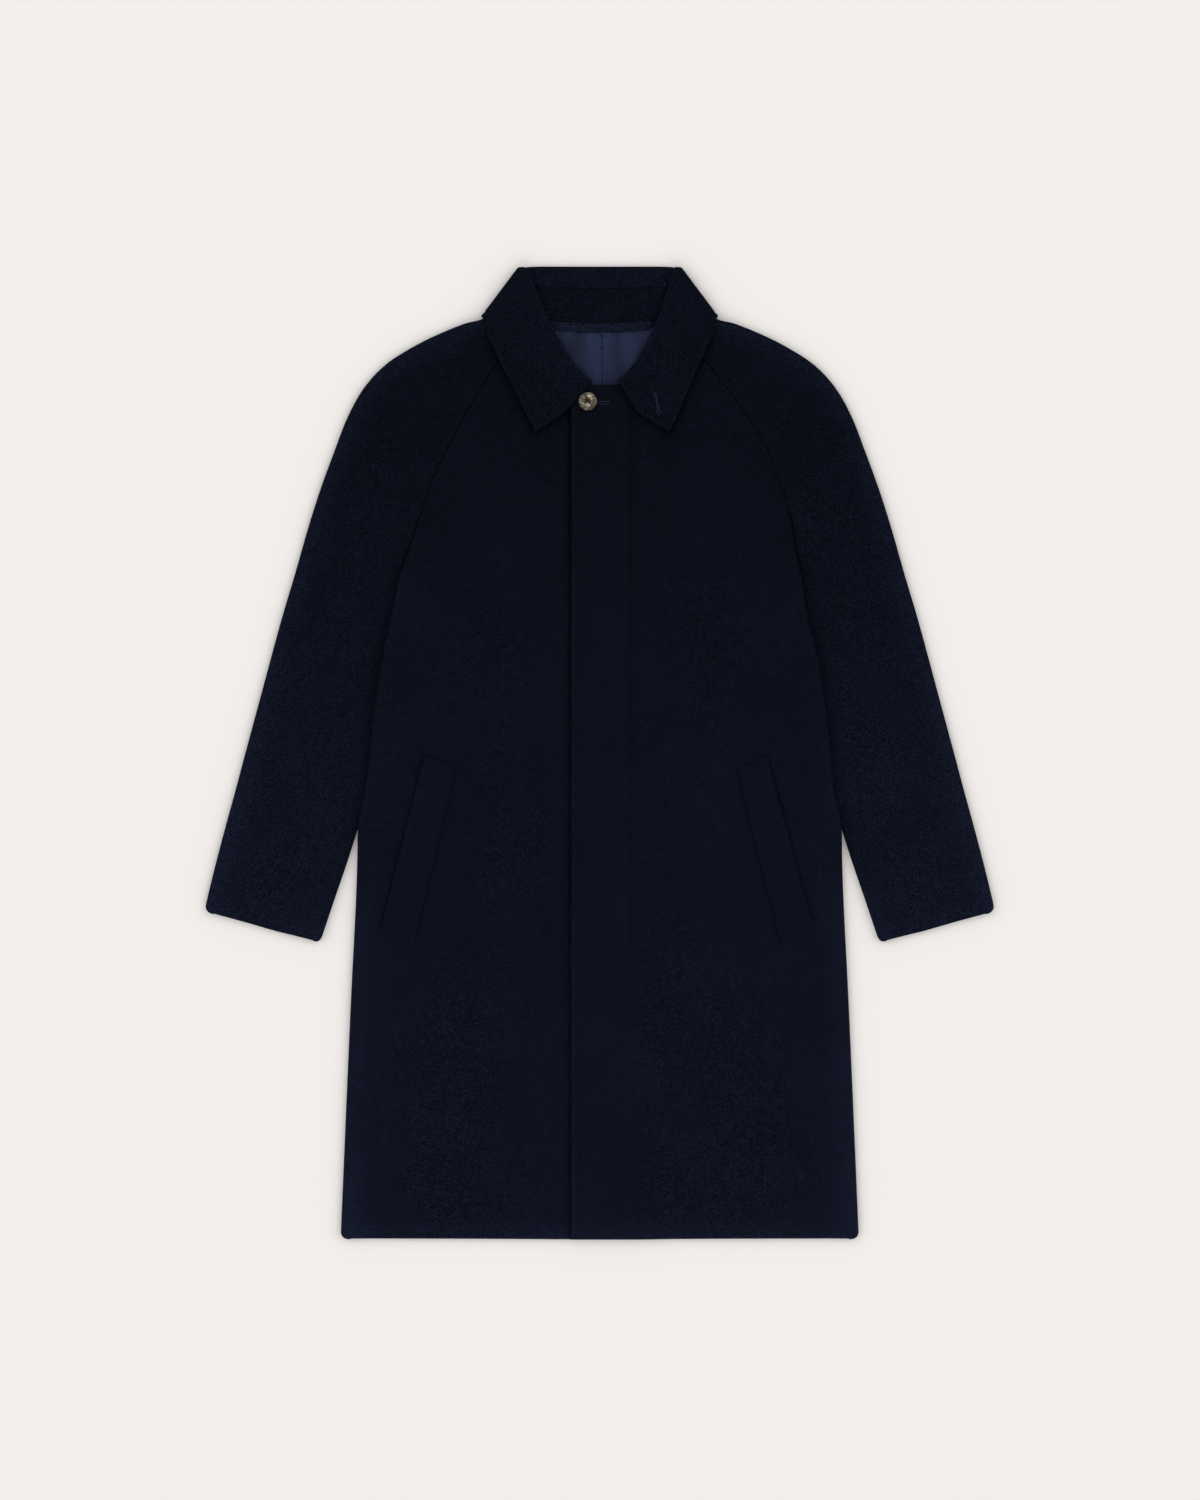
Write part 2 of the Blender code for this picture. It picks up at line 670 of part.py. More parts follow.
def make_button(material, collection, cutters):
    """Four-hole button: a turned disc with a raised rim and a dish, its holes cut through."""
    half = BUTTON_HEIGHT / 2.0
    rounding = BUTTON_HEIGHT * 0.25
    profile = [
        (0.0, half - BUTTON_DISH),
        (BUTTON_RADIUS - BUTTON_RIM - BUTTON_DISH, half - BUTTON_DISH),
        (BUTTON_RADIUS - BUTTON_RIM, half - 0.2),
        (BUTTON_RADIUS - BUTTON_RIM + rounding, half),
        (BUTTON_RADIUS - rounding, half),
        (BUTTON_RADIUS, half - rounding),
        (BUTTON_RADIUS, -half + rounding),
        (BUTTON_RADIUS - rounding * 2.0, -half),
        (0.0, -half),
    ]
    mesh = bpy.data.meshes.new("top_button")
    edges = [(index, index + 1) for index in range(len(profile) - 1)]
    mesh.from_pydata([(radius * MM, 0.0, z * MM) for radius, z in profile], edges, [])
    button = add_object("top_button", mesh, material, collection)
    rest = lapped_level(BUTTON_X, BUTTON_DROP) + WALL / 2.0 + SEAM
    button.location = (BUTTON_X * MM, (MIDDLE_DROP - BUTTON_DROP) * MM, (rest + half) * MM)
    screw = button.modifiers.new("turned", "SCREW")
    screw.steps = BUTTON_STEPS
    screw.render_steps = BUTTON_STEPS
    screw.use_merge_vertices = True
    screw.merge_threshold = 0.00001
    cutter_mesh = bpy.data.meshes.new("button_holes")
    shape = bmesh.new()
    for index in range(4):
        angle = math.pi / 4.0 + index * math.pi / 2.0
        made = bmesh.ops.create_cone(
            shape,
            cap_ends=True,
            segments=12,
            radius1=BUTTON_HOLE * MM,
            radius2=BUTTON_HOLE * MM,
            depth=BUTTON_HEIGHT * 3.0 * MM,
        )
        shift = (math.cos(angle) * BUTTON_HOLE_PITCH * MM, math.sin(angle) * BUTTON_HOLE_PITCH * MM, 0.0)
        bmesh.ops.translate(shape, verts=made["verts"], vec=shift)
    shape.to_mesh(cutter_mesh)
    shape.free()
    cutter = bpy.data.objects.new("button_holes", cutter_mesh)
    cutter.location = button.location
    cutter.hide_render = True
    cutter.display_type = "WIRE"
    cutters.objects.link(cutter)
    holes = button.modifiers.new("holes", "BOOLEAN")
    holes.object = cutter
    holes.operation = "DIFFERENCE"
    holes.solver = "EXACT"
    mesh.shade_smooth()
    return button


def main():
    """Build every piece of the coat."""
    for thing in list(bpy.data.objects):
        bpy.data.objects.remove(thing, do_unlink=True)
    coat = bpy.data.collections.new("balmacaan_coat")
    cutters = bpy.data.collections.new("cutters")
    for group in (coat, cutters):
        bpy.context.scene.collection.children.link(group)
    wool = make_material("wool", WOOL)
    lining = make_material("lining", LINING)
    horn = make_material("horn", HORN)

    rows = back_rows()
    cloth("back", rows, wool, coat)
    cloth("back_lining", lining_rows(rows), lining, coat, LINING_WALL)
    front_panel("front_right", -1, RIGHT_FRONT, top_level, PANEL_COLUMNS, LAP_UNDER, wool, coat)
    front_panel("front_left", 1, LEFT_FRONT, lapped_level, LAP_COLUMNS, LAP_EDGE, wool, coat)
    for side, word in ((-1, "right"), (1, "left")):
        sleeve_half(f"sleeve_front_{word}", side, True, wool, coat)
        sleeve_half(f"sleeve_back_{word}", side, False, wool, coat)
    cloth("collar", collar_rows(), wool, coat)
    cloth("collar_stand", stand_rows(), wool, coat)
    cloth("pocket_welt_right", welt_rows(RIGHT_WELT, -1, top_level), wool, coat)
    cloth("pocket_welt_left", welt_rows(LEFT_WELT, 1, lapped_level), wool, coat)
    make_button(horn, coat, cutters)


main()
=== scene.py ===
"""Looks of a balmacaan overcoat of dark wool coating, laid flat on its back and face up.

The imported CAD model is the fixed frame. Every cloth piece here is a finer shell on the form of the CAD
solid that it stands for, with rounded edges, sewing and soft creases. Plan places are millimetres, as in
the CAD: x to the wearer's left, and "drop" down from the top of the collar. Heights are over the floor.
"""

import logging
import math
from dataclasses import dataclass, field
from enum import Enum
from functools import partial
from typing import Callable, NamedTuple, Sequence

import bmesh
import bpy
import numpy as np
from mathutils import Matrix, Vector


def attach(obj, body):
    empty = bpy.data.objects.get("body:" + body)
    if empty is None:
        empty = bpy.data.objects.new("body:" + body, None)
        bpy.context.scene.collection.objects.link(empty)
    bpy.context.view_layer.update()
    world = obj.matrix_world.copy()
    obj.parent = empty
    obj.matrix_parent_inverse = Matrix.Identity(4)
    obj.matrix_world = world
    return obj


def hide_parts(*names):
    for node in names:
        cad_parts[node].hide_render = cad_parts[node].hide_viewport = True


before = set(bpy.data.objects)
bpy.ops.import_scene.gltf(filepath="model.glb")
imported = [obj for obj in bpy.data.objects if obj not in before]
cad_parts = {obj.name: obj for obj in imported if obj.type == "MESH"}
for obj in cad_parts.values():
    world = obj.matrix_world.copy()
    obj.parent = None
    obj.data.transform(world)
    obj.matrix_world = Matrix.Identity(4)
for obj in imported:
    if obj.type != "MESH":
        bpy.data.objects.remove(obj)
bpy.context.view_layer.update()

logging.basicConfig(level=logging.INFO, format="%(message)s")
LOG = logging.getLogger("coat")

# Units, and the place of the plan in the row's frame
MM = 0.001
MIDDLE_DROP = 535.84

# Walls and gaps of the CAD, and the middle heights of its bottom and top layers, millimetres
WALL = 2.4
SEAM = 0.3
STACK = 3.0
BOTTOM = 1.2
TOP = 6.8

# How far the body's two layers ride up on the sleeve at the underarm, and the sleeve is pressed under them
RIDE_BACK = 6.4
RIDE_FRONT = 4.4
SLEEVE_PINCH = 2.0

# Depths of a shell's rim at a free edge, at a seam or fold and round a thin ply, and steps round a fold
RIM = 1.2
SEAM_RIM = 0.6
THIN_RIM = 0.3
FOLD_STEPS = 6

# Distances of stitches from their edges, and where the fly's stitches run
TOPSTITCH = 6.0
LAP_STITCH = 8.5
FLY_STITCH_X = 34.0
FLY_STITCH_DROPS = (140.0, 752.0)

# Height of a machine stitch's middle over the cloth that it sinks into
SUNK = -0.15

# Painted shade beside a sewn seam: how much darker the colour is drawn where the seam's groove lies in shade
SEAM_SHADE = 0.16

Array = np.ndarray
Level = Callable[[Array, Array], Array]
Mesh, Thing, Material = bpy.types.Mesh, bpy.types.Object, bpy.types.Material
Tree, Node, Socket = bpy.types.NodeTree, bpy.types.Node, bpy.types.NodeSocket
Value = Socket | float


class Side(Enum):
    """Side of the coat, as the wearer has it."""

    RIGHT = -1
    LEFT = 1


class Slot(Enum):
    """Material slots of the record."""

    WOOL = "wool"
    LINING = "lining"
    HORN = "horn"
    THREAD = "thread"


class SleeveSection(NamedTuple):
    """Section of a sleeve: its seam or inner edge on each side of the coat, and its outer fold."""

    right_out: float
    right_drop: float
    left_out: float
    left_drop: float
    fold_out: float
    fold_drop: float


class BodySection(NamedTuple):
    """Section of the body below the underarm: side folds, lap over the sleeve and share of the lift."""

    drop: float
    right_out: float
    left_out: float
    overlap: float
    ride: float


class FrontSection(NamedTuple):
    """Upper section of a front: places on the raglan seam and the neckline, or a plan place below it."""

    seam: float
    leaf: float | None
    inner_out: float | None
    inner_drop: float | None


class BackSection(NamedTuple):
    """Upper section of the back: a place on its raglan seam, its sag at the centre and its lift."""

    seam: float
    sag: float
    ride: float


class CollarSection(NamedTuple):
    """Section of the collar: fold of the roll, edge of the fall, widths and the bow of its edge."""

    roll_out: float
    roll_drop: float
    edge_out: float
    edge_drop: float
    roll: float
    neck: float
    bow: float


SLEEVE_SECTIONS = [SleeveSection(*row) for row in (
    (92.0, 76.0, 92.0, 76.0, 119.7, 45.7),
    (97.5, 84.0, 98.5, 83.5, 124.1, 51.4),
    (103.0, 92.0, 105.0, 91.0, 129.1, 58.1),
    (115.0, 110.0, 118.0, 107.0, 147.0, 62.8),
    (134.0, 139.0, 138.0, 132.0, 180.0, 75.8),
    (147.0, 162.0, 158.0, 159.0, 207.0, 89.5),
    (164.0, 194.0, 180.0, 194.0, 236.0, 108.5),
    (183.0, 232.0, 195.5, 230.0, 259.6, 134.0),
    (192.0, 258.0, 205.0, 258.0, 277.0, 165.0),
    (201.0, 284.0, 212.0, 284.0, 293.0, 206.0),
    (211.0, 312.0, 216.5, 312.0, 308.0, 247.0),
    (220.3, 342.0, 221.7, 342.0, 321.0, 288.0),
    (222.3, 380.0, 222.3, 380.0, 335.0, 337.0),
    (228.5, 430.0, 228.5, 430.0, 351.0, 391.0),
    (238.0, 500.0, 238.0, 500.0, 370.5, 463.0),
    (251.0, 575.0, 251.0, 575.0, 390.2, 536.0),
    (266.3, 619.0, 266.3, 619.0, 401.6, 579.0),
    (277.0, 653.0, 277.0, 653.0, 411.5, 615.0),
    (292.0, 697.0, 292.0, 697.0, 423.6, 661.0),
    (308.0, 744.7, 308.0, 744.7, 435.6, 710.6),
)]
# Sections on the raglan seam, those where the cloth begins to fold and the body to ride, and the back's neck
SEAM_SECTIONS = 12
ARMPIT = 8
RIDE_START = 10
BACK_NECK = (93.0, 54.0)

BODY_SECTIONS = [BodySection(*row) for row in (
    (380.0, 227.9, 227.1, 5.2, 1.0),
    (430.0, 238.5, 239.0, 10.2, 1.0),
    (500.0, 249.0, 249.6, 11.2, 1.0),
    (575.0, 257.5, 257.5, 6.5, 1.0),
    (619.0, 266.0, 266.0, 0.0, 1.0),
    (653.0, 266.8, 266.8, 0.0, 0.35),
    (697.0, 268.4, 268.4, 0.0, 0.0),
    (795.0, 273.3, 273.3, 0.0, 0.0),
    (895.0, 277.8, 277.8, 0.0, 0.0),
    (1000.0, 282.3, 282.3, 0.0, 0.0),
    (1071.0, 285.3, 285.3, 0.0, 0.0),
)]
HEM_DROP = 1071.0
CORNER_RADIUS = 7.0

# Front edges: the left front's, which shows, and the right one's under it
LAP_EDGE = -32.5
LAP_UNDER = 30.0
# Under the collar both fronts are alike: places on the raglan seam and on the leaf's neckline
COLLAR_PLACES = ((0.45, 4.4), (2.0, 4.0), (3.0, 3.0), (4.0, 2.0), (4.5, 1.0), (5.0, 0.0))
COLLAR_FRONT = [(seam, leaf, None, None) for seam, leaf in COLLAR_PLACES]
RIGHT_FRONT = [FrontSection(*row) for row in (
    *COLLAR_FRONT,
    (5.5, None, -LAP_UNDER, 134.0),
    (6.0, None, -LAP_UNDER, 165.0),
    (7.0, None, -LAP_UNDER, 205.0),
    (8.0, None, -LAP_UNDER, 240.0),
    (9.0, None, -LAP_UNDER, 270.0),
    (10.0, None, -LAP_UNDER, 305.0),
    (11.0, None, -LAP_UNDER, 342.0),
)]
LEFT_FRONT = [FrontSection(*row) for row in (
    *COLLAR_FRONT,
    (5.4, None, -5.0, 131.2),
    (5.8, None, LAP_EDGE, 140.0),
    (6.3, None, LAP_EDGE, 170.0),
    (7.0, None, LAP_EDGE, 205.0),
    (8.0, None, LAP_EDGE, 240.0),
    (9.0, None, LAP_EDGE, 270.0),
    (10.0, None, LAP_EDGE, 305.0),
    (11.0, None, LAP_EDGE, 342.0),
)]
# The back sags between its seams at the neckline, and is level from the fourth section on
BACK_SAGS = ((0.0, 9.5), (0.5, 7.0), (1.0, 6.0), (1.5, 5.0), (2.0, 4.0), (2.5, 3.0), (3.0, 2.0))
BACK_SECTIONS = [BackSection(seam, sag, 0.0) for seam, sag in BACK_SAGS]
BACK_SECTIONS += [BackSection(float(seam), 0.0, float(seam == 11)) for seam in range(4, 12)]

RIGHT_LEAF = [CollarSection(*row) for row in (
    (7.0, 127.8, 70.4, 183.9, 3.7, 4.0, 4.0),
    (18.0, 118.5, 77.5, 170.0, 6.0, 9.0, 3.0),
    (30.9, 103.5, 87.0, 151.0, 10.0, 18.0, 1.5),
    (43.0, 83.5, 97.5, 130.0, 14.0, 28.0, 0.5),
    (54.0, 63.5, 107.5, 110.0, 18.0, 37.0, 0.0),
    (63.5, 41.5, 117.0, 90.0, 21.0, 44.0, 0.0),
    (72.9, 19.4, 124.5, 72.0, 23.0, 51.0, 0.0),
)]
LEFT_LEAF = [CollarSection(*row) for row in (
    (18.5, 127.5, 76.5, 183.5, 3.7, 4.0, 8.0),
    (28.5, 117.5, 83.0, 170.0, 6.0, 9.0, 6.0),
    (41.0, 103.5, 91.0, 151.0, 10.0, 17.0, 3.0),
    (51.5, 84.5, 100.0, 130.0, 14.0, 26.0, 1.0),
    (61.0, 65.0, 109.0, 110.0, 18.0, 31.5, 0.0),
    (68.5, 44.0, 118.0, 90.0, 21.0, 38.5, 0.0),
    (76.5, 21.0, 124.5, 72.0, 23.0, 47.5, 0.0),
)]
BACK_COLLAR = [CollarSection(*row) for row in (
    (78.0, 0.6, 116.0, 66.0, 24.2, 57.0, 0.0),
    (62.0, 0.0, 90.0, 71.0, 24.2, 59.8, 0.0),
    (42.0, 0.0, 58.0, 73.0, 24.2, 61.4, 0.0),
    (21.0, 0.0, 28.0, 73.5, 24.2, 62.9, 0.0),
    (0.0, 0.0, 0.0, 73.5, 24.2, 63.2, 0.0),
)]

# Corners of the pocket welts in plan, round from the upper outer corner
RIGHT_WELT = [(193.6, 536.3), (156.8, 553.9), (204.1, 748.0), (242.2, 728.8)]
LEFT_WELT = [(184.8, 537.9), (150.2, 553.9), (197.5, 744.3), (234.3, 720.0)]

BUTTON_PLACE = (-13.2, 149.4)


def smooth(value: Array | float) -> Array:
    """Eases from 0 to 1 as the value goes from 0 to 1."""
    t = np.clip(value, 0.0, 1.0)
    return t * t * (3.0 - 2.0 * t)


def rising(value: Array | float, start: float, width: float) -> Array:
    """Ramp that eases from 0 to 1 over a width from a start on."""
    return smooth((value - start) / width)


def falling(value: Array | float, start: float, width: float) -> Array:
    """Ramp that eases from 1 to 0 over a width from a start on."""
    return 1.0 - smooth((value - start) / width)


def bump(value: Array | float, width: float) -> Array:
    """Bell of height 1 round zero, with that width."""
    return np.exp(-np.square(np.asarray(value) / width))


@dataclass(frozen=True)
class Layers:
    """Middle heights of the coat's layers over the floor, in millimetres, as the CAD has them."""

    neck_span: float = 110.0
    neck_drop: float = 37.0
    neck_reach: float = 40.0
    neck_ease: float = 28.0
    top_lift: float = 1.6
    lap_flat: float = 34.0
    lap_ease: float = 90.0
    leaf_lap_flat: float = -36.0
    leaf_lap_ease: float = -66.0

    def neck_lift(self, x: Array, drop: Array) -> Array:
        """Share of the lift over the collar's fall, round a capsule across the shoulders."""
        beyond = np.maximum(np.abs(x) - self.neck_span, 0.0)
        away = np.hypot(beyond, drop - self.neck_drop)
        return 1.0 - smooth((away - self.neck_reach) / self.neck_ease)

    def back(self, x: Array, drop: Array) -> Array:
        """Middle height of the bottom layer."""
        return BOTTOM + STACK * self.neck_lift(x, drop)

    def front(self, x: Array, drop: Array) -> Array:
        """Middle height of the top layer, without the lap."""
        return TOP + self.top_lift * self.neck_lift(x, drop)

    def lapped(self, x: Array, drop: Array) -> Array:
        """Middle height of the left front, which lies over the right one."""
        share = 1.0 - smooth((x - self.lap_flat) / (self.lap_ease - self.lap_flat))
        return self.front(x, drop) + STACK * share

    def right_leaf(self, x: Array, drop: Array) -> Array:
        """Height of what carries the right leaf, whose tip lies on the lap."""
        share = smooth((x - self.leaf_lap_ease) / (self.leaf_lap_flat - self.leaf_lap_ease))
        return self.front(x, drop) + STACK * share


LAYERS = Layers()


@dataclass(frozen=True)
class Crease:
    """One soft ridge or trough of the cloth along a line in plan; a trough has a negative height."""

    start: tuple[float, float]
    end: tuple[float, float]
    width: float
    height: float
    wander: float = 4.0

    def rise(self, x: Array, drop: Array) -> Array:
        """Height that the crease adds at plan places, fading out toward both of its ends.

        Args:
            x: Places to the wearer's left.
            drop: Places down from the top.

        Returns:
            The rise at each place, in millimetres.
        """
        run = np.subtract(self.end, self.start)
        length = float(np.hypot(*run))
        away_x = x - self.start[0]
        away_drop = drop - self.start[1]
        share = (away_x * run[0] + away_drop * run[1]) / length**2
        across = (away_drop * run[0] - away_x * run[1]) / length
        across = across + self.wander * np.sin(share * 7.0 + self.start[0])
        fade = smooth(share / 0.3) * smooth((1.0 - share) / 0.3)
        uneven = 1.0 + 0.3 * np.sin(share * 9.0 + self.start[1])
        return self.height * uneven * fade * bump(across, self.width)


# Soft creases of the top layer: long ridges and troughs down the body, and pulls from the underarms
FRONT_CREASES = [Crease(*row) for row in (
    ((-110.0, 250.0), (-125.0, 760.0), 26.0, 0.9, 6.0),
    ((-160.0, 330.0), (-185.0, 620.0), 18.0, -0.8),
    ((-60.0, 420.0), (-75.0, 980.0), 30.0, -0.7, 8.0),
    ((-150.0, 700.0), (-170.0, 1120.0), 34.0, 0.8, 7.0),
    ((-225.0, 720.0), (-235.0, 1090.0), 20.0, -0.6),
    ((-215.0, 360.0), (-120.0, 470.0), 14.0, 0.7),
    ((118.0, 240.0), (128.0, 700.0), 24.0, 0.8, 6.0),
    ((172.0, 330.0), (190.0, 640.0), 18.0, -0.8),
    ((75.0, 480.0), (85.0, 1010.0), 28.0, -0.7, 8.0),
    ((150.0, 720.0), (165.0, 1130.0), 36.0, 0.8, 7.0),
    ((226.0, 730.0), (238.0, 1090.0), 20.0, -0.6),
    ((214.0, 350.0), (128.0, 455.0), 14.0, 0.6),
    ((4.0, 300.0), (-4.0, 820.0), 20.0, 0.3),
)]
SLEEVE_CREASES = [Crease(*row) for row in (
    ((-215.0, 175.0), (-318.0, 520.0), 24.0, 0.9, 5.0),
    ((-262.0, 330.0), (-352.0, 690.0), 18.0, -0.8, 5.0),
    ((-246.0, 396.0), (-338.0, 470.0), 10.0, 0.7, 2.0),
    ((-262.0, 470.0), (-352.0, 540.0), 11.0, -0.6, 2.0),
    ((-290.0, 560.0), (-375.0, 720.0), 22.0, 0.7),
    ((-178.0, 120.0), (-225.0, 260.0), 20.0, -0.6),
    ((218.0, 180.0), (318.0, 515.0), 24.0, 0.9, 5.0),
    ((264.0, 340.0), (354.0, 700.0), 18.0, -0.8, 5.0),
    ((248.0, 384.0), (340.0, 455.0), 10.0, 0.6, 2.0),
    ((266.0, 490.0), (356.0, 556.0), 11.0, -0.7, 2.0),
    ((292.0, 565.0), (377.0, 725.0), 22.0, 0.7),
    ((182.0, 118.0), (228.0, 262.0), 20.0, -0.6),
)]
# The hidden side lies on the floor, so its creases are hollows that lift off it
BACK_CREASES = [Crease(*row) for row in (
    ((-20.0, 200.0), (-45.0, 700.0), 30.0, 0.9, 8.0),
    ((70.0, 260.0), (95.0, 860.0), 34.0, 0.8, 8.0),
    ((-120.0, 380.0), (-150.0, 1050.0), 32.0, 0.8, 8.0),
    ((165.0, 500.0), (185.0, 1090.0), 26.0, 0.7),
    ((20.0, 640.0), (10.0, 1110.0), 22.0, 0.6),
)]
BACK_SLEEVE_CREASES = [Crease(*row) for row in (
    ((-225.0, 220.0), (-330.0, 600.0), 24.0, 0.8),
    ((-255.0, 430.0), (-350.0, 520.0), 12.0, 0.6, 2.0),
    ((225.0, 220.0), (330.0, 600.0), 24.0, 0.8),
    ((258.0, 420.0), (352.0, 505.0), 12.0, 0.6, 2.0),
)]


def creased(creases: Sequence[Crease], x: Array, drop: Array) -> Array:
    """Sum of several creases at plan places."""
    total = np.zeros_like(x)
    for crease in creases:
        total = total + crease.rise(x, drop)
    return total


def between(start: Sequence[float], end: Sequence[float], share: float) -> tuple[float, ...]:
    """Point between two points."""
    return tuple(a + (b - a) * share for a, b in zip(start, end))


def along(points: Sequence[Sequence[float]], place: float) -> tuple[float, ...]:
    """Point at a place on a polyline, counted in its points."""
    first = min(int(place), len(points) - 2)
    return between(points[first], points[first + 1], place - first)


def shifted(points: Sequence[Sequence[float]], distances: Sequence[float]) -> list[tuple[float, float]]:
    """Moves a plan polyline sideways, to the left of its run.

    Args:
        points: Plan places of the line.
        distances: How far each point moves.

    Returns:
        The moved line.
    """
    moved = []
    for index, point in enumerate(points):
        before = points[max(index - 1, 0)]
        after = points[min(index + 1, len(points) - 1)]
        run = (after[0] - before[0], after[1] - before[1])
        side = distances[index] / math.hypot(*run)
        moved.append((point[0] + run[1] * side, point[1] - run[0] * side))
    return moved


def eased_curve(places: Array, values: Array, wanted: Array) -> Array:
    """Smooth curve through known values that never swings past them.

    Args:
        places: Where the values are known, rising.
        values: One row of values for each place.
        wanted: Where the curve is read.

    Returns:
        One row of values for each wanted place.
    """
    steps = np.diff(places)
    slopes = np.diff(values, axis=0) / steps[:, None]
    before, after = slopes[:-1], slopes[1:]
    same_way = before * after > 0.0
    first_weight = (2.0 * steps[1:] + steps[:-1])[:, None]
    second_weight = (steps[1:] + 2.0 * steps[:-1])[:, None]
    safe_before = np.where(same_way, before, 1.0)
    safe_after = np.where(same_way, after, 1.0)
    mean = (first_weight + second_weight) / (first_weight / safe_before + second_weight / safe_after)
    tangents = np.vstack([slopes[:1], np.where(same_way, mean, 0.0), slopes[-1:]])
    index = np.clip(np.searchsorted(places, wanted, side="right") - 1, 0, len(places) - 2)
    gap = steps[index][:, None]
    t = (wanted - places[index])[:, None] / gap
    start_share = (1.0 + 2.0 * t) * (1.0 - t) ** 2
    end_share = t**2 * (3.0 - 2.0 * t)
    start_pull = t * (1.0 - t) ** 2 * gap
    end_pull = t**2 * (t - 1.0) * gap
    known = start_share * values[index] + end_share * values[index + 1]
    return known + start_pull * tangents[index] + end_pull * tangents[index + 1]


def stations(start: float, end: float, count: int, heads: Sequence[float], tails: Sequence[float]) -> Array:
    """Places between two ends: close ones in from either end, and even ones between.

    Args:
        start: First place.
        end: Last place.
        count: Number of even steps in the middle.
        heads: Distances in from the start that get a place.
        tails: Distances in from the end that get a place.

    Returns:
        The places, rising. The close ones draw together where the length is short.
    """
    length = end - start
    head_reach = heads[-1] if heads else 0.0
    tail_reach = tails[-1] if tails else 0.0
    scale = min(1.0, 0.8 * length / max(head_reach + tail_reach, 0.001))
    middle = np.linspace(start + head_reach * scale, end - tail_reach * scale, count + 1)
    near = [start] + [start + reach * scale for reach in heads[:-1]] if heads else []
    far = [end - reach * scale for reach in reversed(tails[:-1])] + [end] if tails else []
    return np.concatenate([near, middle, far])


def seam_line(side: Side) -> list[tuple[float, float]]:
    """Raglan seam of one side from the neckline to below the underarm, in plan."""
    points = []
    for row in SLEEVE_SECTIONS[:SEAM_SECTIONS]:
        out, drop = (row.left_out, row.left_drop) if side is Side.LEFT else (row.right_out, row.right_drop)
        points.append((side.value * out, drop))
    return points


def back_seam_line(side: Side) -> list[tuple[float, float]]:
    """Raglan seam on the back, which starts higher on the neckline."""
    line = seam_line(side)
    line[0] = (side.value * BACK_NECK[0], BACK_NECK[1])
    line[1] = between(line[0], line[2], 0.5)
    return line


def seam_place(line: Sequence[Sequence[float]], place: float, shift: float) -> Array:
    """Plan point on a smooth seam, which the pieces on both of its sides share.

    Args:
        line: Plan points of the seam.
        place: Place on it, counted in its points.
        shift: How far the point moves sideways, to the left of the seam's run.

    Returns:
        The point.
    """
    near = np.clip([place - 0.02, place, place + 0.02], 0.0, len(line) - 1.0)
    points = eased_curve(np.arange(len(line), dtype=float), np.array(line), near)
    run = (points[2] - points[0]) / np.hypot(*(points[2] - points[0]))
    return points[1] + shift * np.array([run[1], -run[0]])


def seam_turn(place: float) -> float:
    """How far the cloth is turned at a place on the raglan seam: flat above the armpit, folded below it."""
    return float(smooth((place - ARMPIT) / (SEAM_SECTIONS - 1 - ARMPIT)))


def seam_ride(place: float) -> float:
    """How far the body rides over the sleeve at a place on the raglan seam."""
    return float(smooth((place - RIDE_START) / (SEAM_SECTIONS - 1 - RIDE_START)))


def ride_share(ride: float, overlap: float, reach: Array) -> Array:
    """Share of the ride over the sleeve at reaches from the body's side."""
    return ride * (1.0 - smooth((reach - overlap - 4.0) / 35.0))


def side_radius(ride: float) -> float:
    """Radius of the body's side fold, which is pressed flatter where it rides on the sleeve."""
    return (TOP - BOTTOM - (RIDE_BACK - RIDE_FRONT) * ride) / 2.0


@dataclass(frozen=True)
class Edge:
    """One end of a section: how the cloth turns there, the depth of its rim, and close columns beside it.

    Turn is 0 for a flat end and 1 for one folded by a quarter turn, down (-1) or up (1).
    """

    turn: float = 0.0
    radius: float = 0.0
    direction: float = -1.0
    depth: float = RIM
    stops: tuple[float, ...] = ()

    def profile(self) -> tuple[Array, Array]:
        """Reaches in from the outline, the last being where the flat starts, and heights off the level."""
        if self.radius == 0.0:
            return np.array([self.depth]), np.zeros(1)
        lean = math.sin(math.pi / 2.0 * self.turn)
        share = np.linspace(1.0, 0.0, FOLD_STEPS + 1)
        angle = math.pi / 2.0 * self.turn * share
        arc = self.radius * (lean - np.sin(angle))
        spread = self.radius * (1.0 - share)
        reach = lean * WALL / 2.0 + (1.0 - lean) * self.depth + self.turn * arc + (1.0 - self.turn) * spread
        end = SEAM / 2.0 + self.depth
        return reach, self.direction * (self.radius - end) * (1.0 - np.cos(angle))


class Section(NamedTuple):
    """Points across a piece: plan places, bends of the folds, and reaches from both ends."""

    x: Array
    drop: Array
    bend: Array
    reach: Array
    far: Array


def section(start: Sequence[float], end: Sequence[float], count: int, head: Edge, tail: Edge) -> Section:
    """Places across a piece of cloth between two plan points, with an edge at either end.

    Args:
        start: Plan place of one end.
        end: Plan place of the other end.
        count: Number of even columns between the edges.
        head: Edge at the start.
        tail: Edge at the end.

    Returns:
        The section, without its level.
    """
    length = math.hypot(end[0] - start[0], end[1] - start[1])
    run = ((end[0] - start[0]) / length, (end[1] - start[1]) / length)
    head_reach, head_bend = head.profile()
    tail_reach, tail_bend = tail.profile()
    middle = stations(head_reach[-1], length - tail_reach[-1], count, head.stops, tail.stops)
    reach = np.concatenate([head_reach[:-1], middle, (length - tail_reach[:-1])[::-1]])
    bend = np.concatenate([head_bend[:-1], np.zeros(len(middle)), tail_bend[:-1][::-1]])
    return Section(start[0] + run[0] * reach, start[1] + run[1] * reach, bend, reach, length - reach)


def run_places(steps: Array) -> Array:
    """Places from 0 on, one more than the steps between them."""
    return np.concatenate([[0.0], np.cumsum(steps)])


